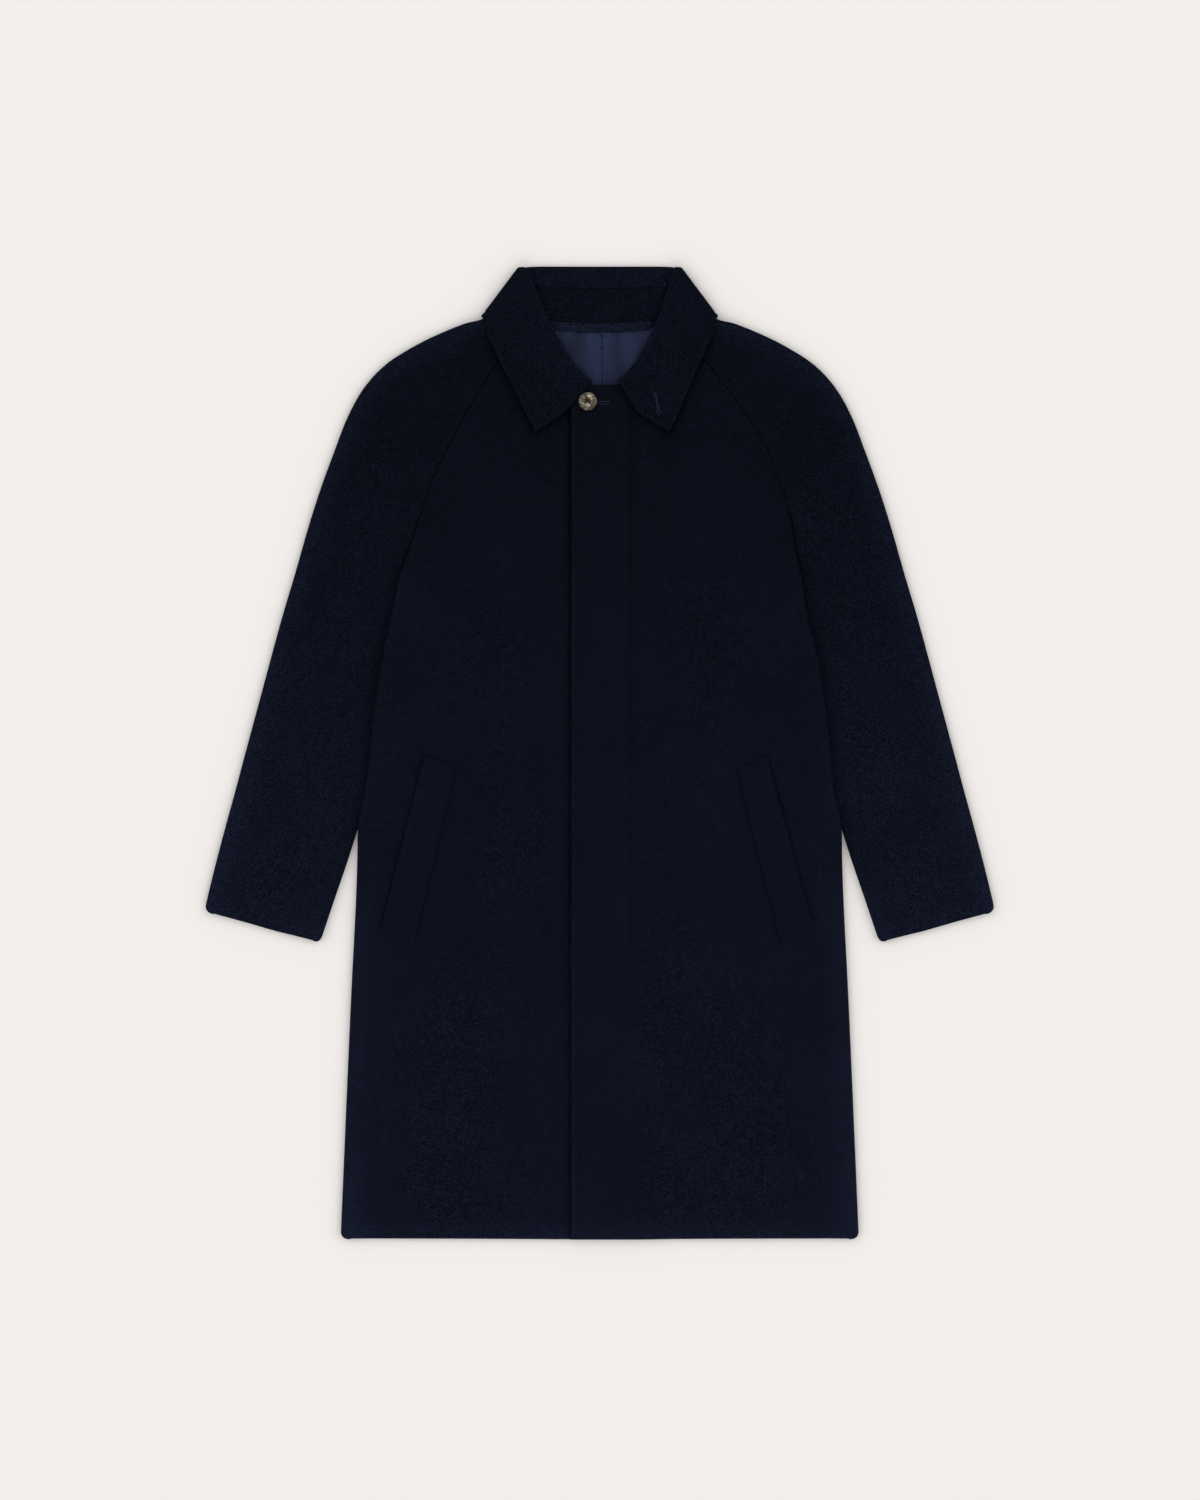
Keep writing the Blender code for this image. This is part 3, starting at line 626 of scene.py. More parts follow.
def spec_places(specs: Array) -> Array:
    """Places of sections along a piece, from the mean steps of their two ends."""
    first = np.hypot(np.diff(specs[:, 0]), np.diff(specs[:, 1]))
    second = np.hypot(np.diff(specs[:, 2]), np.diff(specs[:, 3]))
    return run_places((first + second) / 2.0)


def spaced(places: Array, spacing: float, least: int, extras: Sequence[float] = ()) -> Array:
    """Close places through known ones.

    Args:
        places: Known places, rising.
        spacing: Widest step allowed.
        least: Fewest steps in each known interval.
        extras: Further places that are wanted.

    Returns:
        The places, rising, none closer than a quarter millimetre.
    """
    wanted = [np.array(extras, dtype=float)]
    for start, end in zip(places[:-1], places[1:]):
        steps = max(least, math.ceil((end - start) / spacing))
        wanted.append(np.linspace(start, end, steps + 1))
    rising = np.unique(np.concatenate(wanted))
    kept = [rising[0]]
    for place in rising[1:-1]:
        if place - kept[-1] > 0.25 and rising[-1] - place > 0.25:
            kept.append(place)
    return np.array([*kept, rising[-1]])


def hem_spaced(places: Array, spacing: float, stops: Sequence[float]) -> Array:
    """Close places down a piece as far as its hem's rim, with more of them at distances over the rim."""
    end = places[-1] - RIM
    wanted = spaced(places, spacing, 2, [end - stop for stop in stops])
    return wanted[wanted <= end + 1e-6]


@dataclass(frozen=True)
class SewnEdge:
    """Rise of the outer face beside a turned and stitched edge: a soft swell, then a dip at the stitches."""

    stitch: float = TOPSTITCH
    swell: float = 0.25
    dip: float = 0.6
    dip_width: float = 1.1

    def relief(self, distance: Array) -> Array:
        """Rise at distances in from the edge, in millimetres."""
        swell = self.swell * bump(distance - self.stitch * 0.5, self.stitch * 0.34)
        return swell - self.dip * bump(distance - self.stitch, self.dip_width)

    def lit(self, distance: Array) -> Array:
        """Painted light and shade at distances in from the edge: a painted highlight on the swell and
        painted shade in the stitches' dip.
        """
        swell = 0.16 * bump(distance - self.stitch * 0.45, self.stitch * 0.34)
        return swell - 0.3 * bump(distance - self.stitch, self.dip_width * 1.3)

    def stops(self, depth: float) -> tuple[float, ...]:
        """Distances beyond the rim that get a column or a row, so that the dip is drawn."""
        near = (0.9, 2.0, 3.2, self.stitch - 1.9, self.stitch - 1.0)
        far = (self.stitch, self.stitch + 1.0, self.stitch + 1.9, self.stitch + 3.6)
        return tuple(place - depth for place in (*near, *far) if place > depth + 0.3)


@dataclass
class Shell:
    """Closed shell of cloth over a grid of middle points, with a rounded rim all round.

    Points are (x, drop, height) and uv places on the cloth, both millimetres. The rim's depths are for
    the first row, the last row, the first column and the last column.
    """

    points: Array
    uv: Array
    thickness: float = WALL
    depths: tuple[float, ...] = (RIM, RIM, RIM, RIM)
    relief: Array | None = None
    lit: Array | None = None
    outer_up: bool = True
    outer_at: tuple[int, int] | None = None

    def world(self) -> Array:
        """Middle points in the row's frame, metres."""
        x, drop, z = np.moveaxis(self.points, 2, 0)
        return np.stack([x, MIDDLE_DROP - drop, z], axis=2) * MM

    def normals(self) -> Array:
        """Unit normals of the middle points, toward the outer face."""
        world = self.world()
        normal = np.cross(np.gradient(world, axis=0), np.gradient(world, axis=1))
        normal /= np.maximum(np.linalg.norm(normal, axis=2, keepdims=True), 1e-12)
        row, column = self.outer_at or (world.shape[0] // 2, world.shape[1] // 2)
        faces_up = bool(normal[row, column, 2] > 0.0)
        return normal if faces_up == self.outer_up else -normal

    def outer(self, lift: float = 0.0) -> Array:
        """Points of the outer face in the row's frame, metres, lifted off it by some millimetres."""
        rise = self.thickness / 2.0 + lift + (self.relief if self.relief is not None else 0.0)
        return self.world() + self.normals() * (np.asarray(rise) * MM)[..., None]

    def flat_size(self) -> tuple[float, float, float]:
        """Width and length of the cloth laid out, in metres, and its area in square metres."""
        world = self.world()
        across = np.linalg.norm(np.diff(world, axis=1), axis=2).sum(axis=1).max()
        down = np.linalg.norm(np.diff(world, axis=0), axis=2).sum(axis=0).max()
        first = world[1:, 1:] - world[:-1, :-1]
        second = world[1:, :-1] - world[:-1, 1:]
        area = np.linalg.norm(np.cross(first, second), axis=2).sum() / 2.0
        across += (self.depths[2] + self.depths[3]) * MM
        down += (self.depths[0] + self.depths[1]) * MM
        return float(across), float(down), float(area)

    def rim_pushes(self, loop: Array) -> Array:
        """How far and which way the rim stands out beyond the grid at each of its boundary points."""
        world = self.world()
        push = np.zeros_like(world)
        sides = [
            (np.s_[0, :], np.s_[1, :], self.depths[0]),
            (np.s_[-1, :], np.s_[-2, :], self.depths[1]),
            (np.s_[:, 0], np.s_[:, 1], self.depths[2]),
            (np.s_[:, -1], np.s_[:, -2], self.depths[3]),
        ]
        for border, inside, depth in sides:
            away = world[border] - world[inside]
            away /= np.maximum(np.linalg.norm(away, axis=-1, keepdims=True), 1e-12)
            push[border] += away * depth * MM
        return push.reshape(-1, 3)[loop]

    def boundary(self) -> Array:
        """Indices of the grid's boundary points, once round."""
        rows, columns = self.points.shape[:2]
        index = np.arange(rows * columns).reshape(rows, columns)
        return np.concatenate([index[0], index[1:, -1], index[-1, -2::-1], index[-2:0:-1, 0]])

    def mesh(self, name: str) -> Mesh:
        """Makes the closed mesh with its UV layer and its painted light and shade as a brightness attribute.

        Args:
            name: Name of the mesh.

        Returns:
            The mesh, in metres in the row's frame.
        """
        rows, columns = self.points.shape[:2]
        count = rows * columns
        outer = self.outer().reshape(-1, 3)
        half = self.normals() * self.thickness / 2.0 * MM
        inner = (self.world() - half).reshape(-1, 3)
        loop = self.boundary()
        push = self.rim_pushes(loop)
        middle = (outer[loop] + inner[loop]) / 2.0
        half_wall = (outer[loop] - inner[loop]) / 2.0
        rings = []
        for angle in (math.pi / 4.0, math.pi / 2.0, math.pi * 3.0 / 4.0):
            rings.append(middle + half_wall * math.cos(angle) + push * math.sin(angle))
        vertices = np.concatenate([outer, inner, *rings])
        grid = np.arange(count).reshape(rows, columns)
        quads = np.stack([grid[:-1, :-1], grid[:-1, 1:], grid[1:, 1:], grid[1:, :-1]], axis=2).reshape(-1, 4)
        faces = [quads, quads[:, ::-1] + count]
        around = len(loop)
        belts = [loop]
        belts += [2 * count + around * ring + np.arange(around) for ring in range(len(rings))]
        belts += [loop + count]
        for upper, lower in zip(belts[:-1], belts[1:]):
            faces.append(np.stack([upper, lower, np.roll(lower, -1), np.roll(upper, -1)], axis=1))
        mesh = bpy.data.meshes.new(name)
        mesh.from_pydata(vertices.tolist(), [], np.concatenate(faces).tolist())
        self.write_layers(mesh, loop, len(rings))
        shape = bmesh.new()
        shape.from_mesh(mesh)
        bmesh.ops.recalc_face_normals(shape, faces=shape.faces)
        shape.to_mesh(mesh)
        shape.free()
        mesh.shade_smooth()
        return mesh

    def write_layers(self, mesh: Mesh, loop: Array, rings: int) -> None:
        """Writes the UV layer and the brightness attribute, which holds painted light and shade and a few
        tones of the cloth.

        Args:
            mesh: Mesh of the shell.
            loop: Indices of the grid's boundary points.
            rings: Number of rings between the two faces at the rim.
        """
        flat_uv = self.uv.reshape(-1, 2) * MM
        uv = np.concatenate([flat_uv, flat_uv, *[flat_uv[loop]] * rings])
        lit = np.zeros(len(flat_uv)) if self.lit is None else self.lit.reshape(-1)
        lit = np.concatenate([lit, lit, *[lit[loop]] * rings])
        corner = np.zeros(len(mesh.loops), dtype=np.int32)
        mesh.loops.foreach_get("vertex_index", corner)
        layer = mesh.uv_layers.new(name="cloth")
        layer.data.foreach_set("uv", uv[corner].astype(np.float32).ravel())
        attribute = mesh.attributes.new("lit", "FLOAT", "POINT")
        attribute.data.foreach_set("value", lit.astype(np.float32))


def shaped(name: str, shape: bmesh.types.BMesh) -> Mesh:
    """Mesh with the faces of a shape, which is then freed."""
    mesh = bpy.data.meshes.new(name)
    shape.to_mesh(mesh)
    shape.free()
    return mesh


def linked(name: str, data: bpy.types.ID) -> Thing:
    """New object in the scene's collection."""
    thing = bpy.data.objects.new(name, data)
    bpy.context.scene.collection.objects.link(thing)
    return thing


def made_object(name: str, mesh: Mesh, material: Material) -> Thing:
    """Links a finished mesh as a piece that rides on the coat.

    Args:
        name: Name of the piece.
        mesh: Its mesh, in the row's frame.
        material: Its finish.

    Returns:
        The object.
    """
    mesh.materials.clear()
    mesh.materials.append(material)
    thing = linked(name, mesh)
    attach(thing, "root")
    return thing


@dataclass
class Piece:
    """One piece of cloth: its names and what it rests on."""

    name: str = ""
    nodes: tuple[str, ...] = ()
    rests_on: tuple[str, ...] = ()
    slot: Slot = Slot.WOOL
    made: Shell | None = field(default=None, init=False)
    thing: Thing | None = field(default=None, init=False)

    def shell(self) -> Shell:
        """The piece's shell; each kind of piece makes its own."""
        raise NotImplementedError

    def build(self, material: Material) -> Thing:
        """Makes the object, puts it on the frame, hides the CAD parts that it stands for and logs its
        cloth's size.

        Args:
            material: Finish of the piece.

        Returns:
            The object.
        """
        self.made = self.shell()
        mesh = self.made.mesh(self.name)
        self.thing = made_object(self.name, mesh, material)
        if self.nodes:
            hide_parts(*self.nodes)
        width, length, area = self.made.flat_size()
        size = f"{width * 1000:.0f} x {length * 1000:.0f} mm, {area:.4f} m2"
        LOG.info("cloth %s: %s, %d faces", self.name, size, len(mesh.polygons))
        return self.thing


def thin_shell(points: Array, thickness: float, lit: Array | None = None) -> Shell:
    """Shell of a thin ply, whose places on the cloth are its plan places."""
    return Shell(points, points[..., :2].copy(), thickness, (THIN_RIM,) * 4, lit=lit)


def painted_light_down(drop: Array) -> Array:
    """Painted light down the coat: paler toward the hem and darker near the top, as the light falls off."""
    return 0.26 * (rising(drop, 120.0, 900.0) - 0.5) - 0.14 * falling(drop, 160.0, 260.0)


def seam_shade(side: Side, reach: Array, drop: Array, sewn: Array | float) -> Array:
    """Painted shade beside a raglan seam and in the fold that opens where it ends at the underarm.

    Args:
        side: Side of the coat; the fold is open on the left and pressed on the right.
        reach: Distances from the seam's edge.
        drop: Places down from the top.
        sewn: 1 where the edge is sewn, 0 where it is folded.

    Returns:
        The change at each place.
    """
    fold = rising(drop, 262.0, 20.0) * falling(drop, 325.0, 30.0)
    depth = 0.5 if side is Side.LEFT else 0.2
    return -SEAM_SHADE * bump(reach - 0.6, 1.3) * sewn - depth * fold * bump(reach - 0.6, 1.8)


def corner_inset(distance: float) -> float:
    """How far a rounded corner pulls in at a distance from the edge that it turns into."""
    left = min(max(CORNER_RADIUS - distance, 0.0), CORNER_RADIUS)
    return CORNER_RADIUS - math.sqrt(CORNER_RADIUS**2 - left**2)


def away_from(line: Array, x: Array, drop: Array) -> Array:
    """Distances of plan places from a polyline.

    Args:
        line: Plan points of the polyline.
        x: Places to the wearer's left.
        drop: Places down from the top.

    Returns:
        The distance of each place, in millimetres.
    """
    nearest = np.full(x.shape, np.inf)
    for start, end in zip(line[:-1], line[1:]):
        run = end - start
        share = ((x - start[0]) * run[0] + (drop - start[1]) * run[1]) / float(run @ run)
        share = np.clip(share, 0.0, 1.0)
        away = np.hypot(x - start[0] - run[0] * share, drop - start[1] - run[1] * share)
        nearest = np.minimum(nearest, away)
    return nearest


@dataclass
class FrontPanel(Piece):
    """One front, from its raglan seam and side fold to its front edge."""

    side: Side = Side.RIGHT
    uppers: Sequence[FrontSection] = ()
    level: Level = LAYERS.front
    inner_x: float = LAP_UNDER
    columns: int = 52
    spacing: float = 3.6
    stitch: SewnEdge = SewnEdge(LAP_STITCH, 0.45, 0.5, 1.1)
    fly_dip: float = 0.55
    droop: float = 1.3

    def specs(self) -> Array:
        """Sections as rows of outer and inner plan places, overlap, ride and place on the seam."""
        sign = self.side.value
        line = seam_line(self.side)
        leaf = [neck_point(row) for row in (LEFT_LEAF if self.side is Side.LEFT else RIGHT_LEAF)]
        neckline = shifted([(sign * out, drop) for out, drop in leaf], [-sign * SEAM / 2.0] * len(leaf))
        specs = []
        for row in self.uppers:
            if row.leaf is None:
                inner = (sign * row.inner_out, row.inner_drop)
            else:
                inner = along(neckline, row.leaf)
            specs.append((*along(line, row.seam), *inner, 0.0, 0.0, row.seam))
        specs[-1] = (*specs[-1][:5], 1.0, specs[-1][6])
        for index, row in enumerate(BODY_SECTIONS):
            out = row.left_out if self.side is Side.LEFT else row.right_out
            ends = (sign * out, row.drop, self.inner_x, row.drop)
            specs.append((*ends, row.overlap, row.ride, float(SEAM_SECTIONS + index)))
        return np.array(specs)

    def inner_edge(self, start: Sequence[float], end: Sequence[float]) -> Edge:
        """Edge at the front's inner end, with columns at its stitches and at the fly's."""
        factor = math.hypot(end[0] - start[0], end[1] - start[1]) / abs(end[0] - start[0])
        if self.side is Side.RIGHT:
            steps = (-6.0, -3.0, -1.2, 0.0, 0.8, 1.7, 3.0, 5.0, 8.0)
            beside_lap = [LAP_UNDER - LAP_EDGE + step for step in steps]
            stops = [2.0, 4.0, *[12.0 + 8.0 * step for step in range(6)], *beside_lap]
            return Edge(stops=tuple(place * factor - RIM for place in stops))
        fly = FLY_STITCH_X - LAP_EDGE
        between_stitches = [17.0 + 5.0 * step for step in range(9)]
        fly_stops = [fly - 3.6, fly - 1.8, fly - 0.9, fly, fly + 0.9, fly + 1.8, fly + 3.6]
        stops = [*self.stitch.stops(0.0), *between_stitches, *fly_stops]
        return Edge(stops=tuple(place * factor - RIM for place in stops if place > RIM + SEAM))

    def shell(self) -> Shell:
        """Shell of the front."""
        specs = self.specs()
        places = spec_places(specs)
        wanted = hem_spaced(places, self.spacing, (0.0, 0.8, 2.0, 4.0, 7.0, 11.0))
        seam = seam_line(self.side)
        rows = []
        heights = []
        reaches = []
        sewn = []
        for spec in eased_curve(places, specs, wanted):
            outer, inner = spec[0:2], spec[2:4]
            overlap, ride, place = spec[4:7]
            turn = seam_turn(place)
            sewn.append(1.0 - turn)
            if place <= SEAM_SECTIONS - 1:
                outer = seam_place(seam, place, -self.side.value * SEAM / 2.0)
                ride = seam_ride(place)
            inset = corner_inset(HEM_DROP - RIM - spec[1])
            outer = (outer[0] - self.side.value * inset, outer[1])
            head = Edge(turn, side_radius(ride), -1.0, SEAM_RIM)
            part = section(outer, inner, self.columns, head, self.inner_edge(outer, inner))
            lift = RIDE_FRONT * ride_share(ride, overlap, part.reach)
            fade = smooth(part.reach / 30.0)
            soft = creased(FRONT_CREASES, part.x, part.drop)
            hem = self.droop * (1.0 - smooth((HEM_DROP - part.drop) / 28.0))
            z = self.level(part.x, part.drop) + part.bend + lift + (soft - hem) * fade
            rows.append(np.stack([part.x, part.drop, z], axis=1))
            heights.append(part.bend)
            reaches.append((part.reach, part.far))
        points = np.array(rows)
        x, drop = points[..., 0], points[..., 1]
        reach = np.array([near for near, _ in reaches])
        far = np.array([away for _, away in reaches])
        relief = np.zeros_like(x)
        # Painted highlight where the cloth turns away and catches the light: along the hem and its rim, at
        # the side fold, and broad at the lower corners
        above_hem = HEM_DROP - drop
        lit = 0.45 * bump(above_hem, 20.0) + 0.45 * bump(reach, 18.0) * rising(drop, 640.0, 90.0)
        lit = lit + 0.5 * bump(above_hem - RIM, 1.8) + 0.25 * bump(reach, 40.0) * rising(drop, 800.0, 200.0)
        # Painted highlight on the body's edge where it rides over the sleeve
        over_sleeve = rising(drop, 300.0, 60.0) * falling(drop, 600.0, 60.0)
        lit = lit + 0.1 * bump(reach - 4.0, 7.0) * over_sleeve
        # Painted light down the coat, painted shadow beside the collar's leaf and painted shade at the
        # raglan seam
        lit = lit + painted_light_down(drop) + leaf_shade(self.side, x, drop)
        lit = lit + seam_shade(self.side, reach, drop, np.array(sewn)[:, None])
        if self.side is Side.RIGHT:
            # Shade beside the lap, which lies on this front below the collar's leaf
            beside = np.maximum(LAP_EDGE - x, 0.0)
            below_leaf = rising(drop, 146.0, 8.0)
            lit = lit - (0.5 * bump(beside - 0.3, 1.1) + 0.2 * bump(beside, 4.5)) * below_leaf
        if self.side is Side.LEFT:
            # The lap's own stitches and the fly's dip begin below the collar's leaf
            front = rising(drop, 150.0, 12.0)
            fly = front * (1.0 - smooth((drop - FLY_STITCH_DROPS[1]) / 10.0))
            relief = self.stitch.relief(far) * front - self.fly_dip * bump(x - FLY_STITCH_X, 1.1) * fly
            # Painted shade in the fly's stitched groove, and a painted dark line at the lap's rim for the
            # shadow that its edge casts
            lit = lit + self.stitch.lit(far) * front - 0.42 * bump(x - FLY_STITCH_X, 2.0) * fly
            lit = lit - 0.5 * bump(far - 1.2, 0.8) * front
        uv = np.stack([x + self.side.value * np.abs(np.array(heights)), drop], axis=2)
        return Shell(points, uv, depths=(SEAM_RIM, RIM, SEAM_RIM, RIM), relief=relief, lit=lit)


def neck_point(row: CollarSection) -> tuple[float, float]:
    """Place on the neckline at one section of the collar, for the left side."""
    run = (row.edge_out - row.roll_out, row.edge_drop - row.roll_drop)
    share = row.neck / math.hypot(*run)
    return (row.roll_out + run[0] * share, row.roll_drop + run[1] * share)


def back_specs() -> Array:
    """Sections of the back as rows of both ends' plan places, sag, overlap, ride and place on the seam."""
    lines = [back_seam_line(side) for side in (Side.RIGHT, Side.LEFT)]
    specs = []
    for row in BACK_SECTIONS:
        ends = [along(line, row.seam) for line in lines]
        specs.append((*ends[0], *ends[1], row.sag, 0.0, row.ride, row.seam))
    for index, row in enumerate(BODY_SECTIONS):
        ends = (-row.right_out, row.drop, row.left_out, row.drop)
        specs.append((*ends, 0.0, row.overlap, row.ride, float(SEAM_SECTIONS + index)))
    return np.array(specs)


def back_drops(spec: Array, x: Array) -> Array:
    """Drops of a section of the back at places across it, with its sag at the centre."""
    share = (x - spec[0]) / (spec[2] - spec[0])
    return spec[1] + (spec[3] - spec[1]) * share + spec[4] * 4.0 * share * (1.0 - share) + SEAM


@dataclass
class BackPanel(Piece):
    """The back, from the neckline to the hem, face down on the floor."""

    columns: int = 62
    spacing: float = 8.0

    def shell(self) -> Shell:
        """Shell of the back."""
        specs = back_specs()
        places = spec_places(specs)
        wanted = hem_spaced(places, self.spacing, (0.0, 1.0, 3.0, 6.0))
        wanted = np.concatenate([[SEAM_RIM], wanted[wanted > SEAM_RIM + SEAM]])
        seams = [back_seam_line(side) for side in (Side.RIGHT, Side.LEFT)]
        rows = []
        bends = []
        for spec in eased_curve(places, specs, wanted):
            sag, overlap, ride, place = spec[4:8]
            turn = seam_turn(place)
            inset = corner_inset(HEM_DROP - RIM - spec[1])
            start, finish = (spec[0] + inset, spec[1]), (spec[2] - inset, spec[3])
            if place <= SEAM_SECTIONS - 1:
                start = seam_place(seams[0], place, SEAM / 2.0)
                finish = seam_place(seams[1], place, -SEAM / 2.0)
                ride = seam_ride(place)
            edge = Edge(turn, side_radius(ride), 1.0, SEAM_RIM)
            part = section(start, finish, self.columns, edge, edge)
            share = (part.x - start[0]) / (finish[0] - start[0])
            drop = part.drop + sag * 4.0 * share * (1.0 - share) + SEAM
            near = np.minimum(part.reach, part.far)
            soft = creased(BACK_CREASES, part.x, drop) * smooth(near / 30.0)
            z = LAYERS.back(part.x, drop) + part.bend + RIDE_BACK * ride_share(ride, overlap, near) + soft
            rows.append(np.stack([part.x, drop, z], axis=1))
            bends.append(part.bend)
        points = np.array(rows)
        x, drop = points[..., 0], points[..., 1]
        uv = np.stack([x + np.sign(x) * np.array(bends), drop], axis=2)
        return Shell(points, uv, depths=(SEAM_RIM, RIM, SEAM_RIM, SEAM_RIM), outer_up=False)


@dataclass
class SleeveHalf(Piece):
    """Front or back half of a sleeve, from its raglan seam and inner edge to its outer fold."""

    side: Side = Side.RIGHT
    is_front: bool = True
    columns: int = 30
    spacing: float = 5.0
    lean: float = 21.0

    def specs(self) -> Array:
        """Sections as rows of inner and outer plan places, overlap, pinch and place on the seam."""
        sign = self.side.value
        line = self.seam()
        below = [(row.ride, row.overlap) for row in BODY_SECTIONS]
        specs = []
        for place, row in enumerate(SLEEVE_SECTIONS):
            if place < SEAM_SECTIONS:
                inner, pinch, overlap = line[place], 1.0 if place == SEAM_SECTIONS - 1 else 0.0, 0.0
            else:
                out = row.left_out if self.side is Side.LEFT else row.right_out
                inner = (sign * out, row.left_drop)
                pinch, overlap = below[place - SEAM_SECTIONS]
            specs.append((*inner, sign * row.fold_out, row.fold_drop, overlap, pinch, float(place)))
        return np.array(specs)

    def seam(self) -> list[tuple[float, float]]:
        """Raglan seam of this half, in plan."""
        return seam_line(self.side) if self.is_front else back_seam_line(self.side)

    def height(self, part: Section, pinch: float, overlap: float) -> Array:
        """Level of the half at a section's places, before its folds bend it."""
        if not self.is_front:
            return LAYERS.back(part.x, part.drop)
        share = pinch * (1.0 - smooth((part.reach - overlap - 4.0) / 45.0))
        return LAYERS.front(part.x, part.drop) - SLEEVE_PINCH * share

    def shell(self) -> Shell:
        """Shell of the half sleeve."""
        specs = self.specs()
        places = spec_places(specs)
        end = places[-1] - RIM
        wanted = hem_spaced(places, self.spacing, (0.0, 0.8, 2.0, 4.0, 7.0, 11.0))
        direction = -1.0 if self.is_front else 1.0
        creases = SLEEVE_CREASES if self.is_front else BACK_SLEEVE_CREASES
        seam = self.seam()
        rows = []
        painted_light_rows = []
        for place, spec in zip(wanted, eased_curve(places, specs, wanted)):
            overlap, pinch, on_seam = spec[4:7]
            turn = seam_turn(on_seam)
            run = spec[2:4] - spec[0:2]
            run = run / np.hypot(*run)
            inset = corner_inset(end - place)
            inner, outer = spec[0:2] + run * inset * 0.6, spec[2:4] - run * inset
            if on_seam <= SEAM_SECTIONS - 1:
                inner = seam_place(seam, on_seam, self.side.value * SEAM / 2.0)
                pinch = seam_ride(on_seam)
            gap = LAYERS.front(*outer) - LAYERS.back(*outer)
            head = Edge(turn, (TOP - SLEEVE_PINCH * pinch - BOTTOM) / 2.0, direction, SEAM_RIM)
            tail = Edge(1.0, float(gap) / 2.0, direction, SEAM_RIM)
            part = section(inner, outer, self.columns, head, tail)
            fade = smooth(part.reach / 28.0) * smooth(part.far / 28.0)
            soft = creased(creases, part.x, part.drop) * fade
            cuff = 1.1 * (1.0 - smooth((end - place) / 26.0)) * fade if self.is_front else 0.0
            z = self.height(part, pinch, overlap) + part.bend + soft - cuff
            rows.append(np.stack([part.x, part.drop, z], axis=1))
            # Painted light and shade of the sleeve: painted highlights at its outer fold, at the cuff, paler
            # toward the cuff and at the exposed inner edge, painted light down the coat, painted shade at
            # the raglan seam, painted shadow beside the collar's leaf and under the body's edge where it
            # rides over the sleeve
            shade = 0.55 * bump(part.far, 18.0) + 0.3 * bump(end - place, 18.0) + painted_light_down(part.drop)
            shade = shade + 0.12 * rising(place, 380.0, 200.0)
            shade = shade + 0.3 * bump(part.reach, 12.0) * rising(place, 640.0, 60.0)
            shade = shade + seam_shade(self.side, part.reach, part.drop, 1.0 - turn)
            shade = shade + leaf_shade(self.side, part.x, part.drop)
            painted_light_rows.append(shade - 0.2 * bump(part.reach - overlap - 4.0, 9.0) * pinch)
        points = np.array(rows)
        turned = math.radians(self.lean) * self.side.value
        x, drop = points[..., 0], points[..., 1]
        sine, cosine = math.sin(turned), math.cos(turned)
        uv = np.stack([x * cosine - drop * sine, x * sine + drop * cosine], axis=2)
        depths = (SEAM_RIM, RIM, SEAM_RIM, SEAM_RIM)
        return Shell(points, uv, depths=depths, lit=np.array(painted_light_rows), outer_up=self.is_front)


@dataclass(frozen=True)
class CollarFrame:
    """One section of the collar round the neck: its fold line's place, its run, widths and turn.

    Turn is None on the leaves, and elsewhere half turns round the fold line, 0 on top and 1 underneath.
    """

    x: float
    drop: float
    run_x: float
    run_drop: float
    fall: float
    roll: float
    neck: float
    bow: float
    side: Side
    turn: float | None

    ROLL_REACH = 2.1
    FALL_REACH = 5.1
    AXIS_Z = 6.3
    CORNER = 3.0
    CORNER_REACH = 20.0

    @classmethod
    def of_section(cls, row: CollarSection, side: Side, turn: float | None) -> "CollarFrame":
        """Frame of a section that the collar's tables give.

        Args:
            row: Section of a leaf or of the collar's back.
            side: Side of the coat.
            turn: Half turns round the fold line, or None on a leaf.

        Returns:
            The frame.
        """
        run = (row.edge_out - row.roll_out, row.edge_drop - row.roll_drop)
        length = math.hypot(*run)
        run = (run[0] / length, run[1] / length)
        inset = (cls.FALL_REACH - cls.ROLL_REACH) / 2.0 + WALL / 2.0
        return cls(
            x=side.value * (row.roll_out + run[0] * inset),
            drop=row.roll_drop + run[1] * inset,
            run_x=side.value * run[0],
            run_drop=run[1],
            fall=length - inset,
            roll=row.roll - inset,
            neck=row.neck - inset,
            bow=row.bow,
            side=side,
            turn=turn,
        )

    @classmethod
    def of_corner(cls, side: Side, turn: float) -> "CollarFrame":
        """Frame where the collar turns over at the side of the neck."""
        return cls(
            x=side.value * 84.1,
            drop=3.7,
            run_x=side.value * 0.6,
            run_drop=0.8,
            fall=69.3,
            roll=21.5,
            neck=53.8,
            bow=0.0,
            side=side,
            turn=turn,
        )

    def points(self, reach: Array, layer: Array, share: Array) -> Array:
        """Points of the collar in this section.

        Args:
            reach: Distances from the fold line.
            layer: 0 on the roll, 1 on the fall.
            share: Shares of the fall, which bow the leaf's edge.

        Returns:
            Rows of x, drop and height.
        """
        lean = self.bow * np.sin(math.pi * share) ** 2
        x = self.x + self.run_x * reach - self.side.value * self.run_drop * lean
        drop = self.drop + self.run_drop * reach + self.side.value * self.run_x * lean
        if self.turn is None:
            level = LAYERS.lapped if self.side is Side.LEFT else LAYERS.right_leaf
            soft = creased(FRONT_CREASES, x, drop)
            return np.stack([x, drop, level(x, drop) + STACK * layer + soft], axis=1)
        angle = math.pi * self.turn
        rho = self.ROLL_REACH + (self.FALL_REACH - self.ROLL_REACH) * layer
        slide = self.CORNER * math.sin(angle) * (1.0 - np.clip(reach / self.CORNER_REACH, 0.0, 1.0))
        x = x + self.run_x * slide + self.side.value * self.run_drop * math.sin(angle) * rho
        drop = drop + self.run_drop * slide - self.side.value * self.run_x * math.sin(angle) * rho
        return np.stack([x, drop, self.AXIS_Z + math.cos(angle) * rho], axis=1)


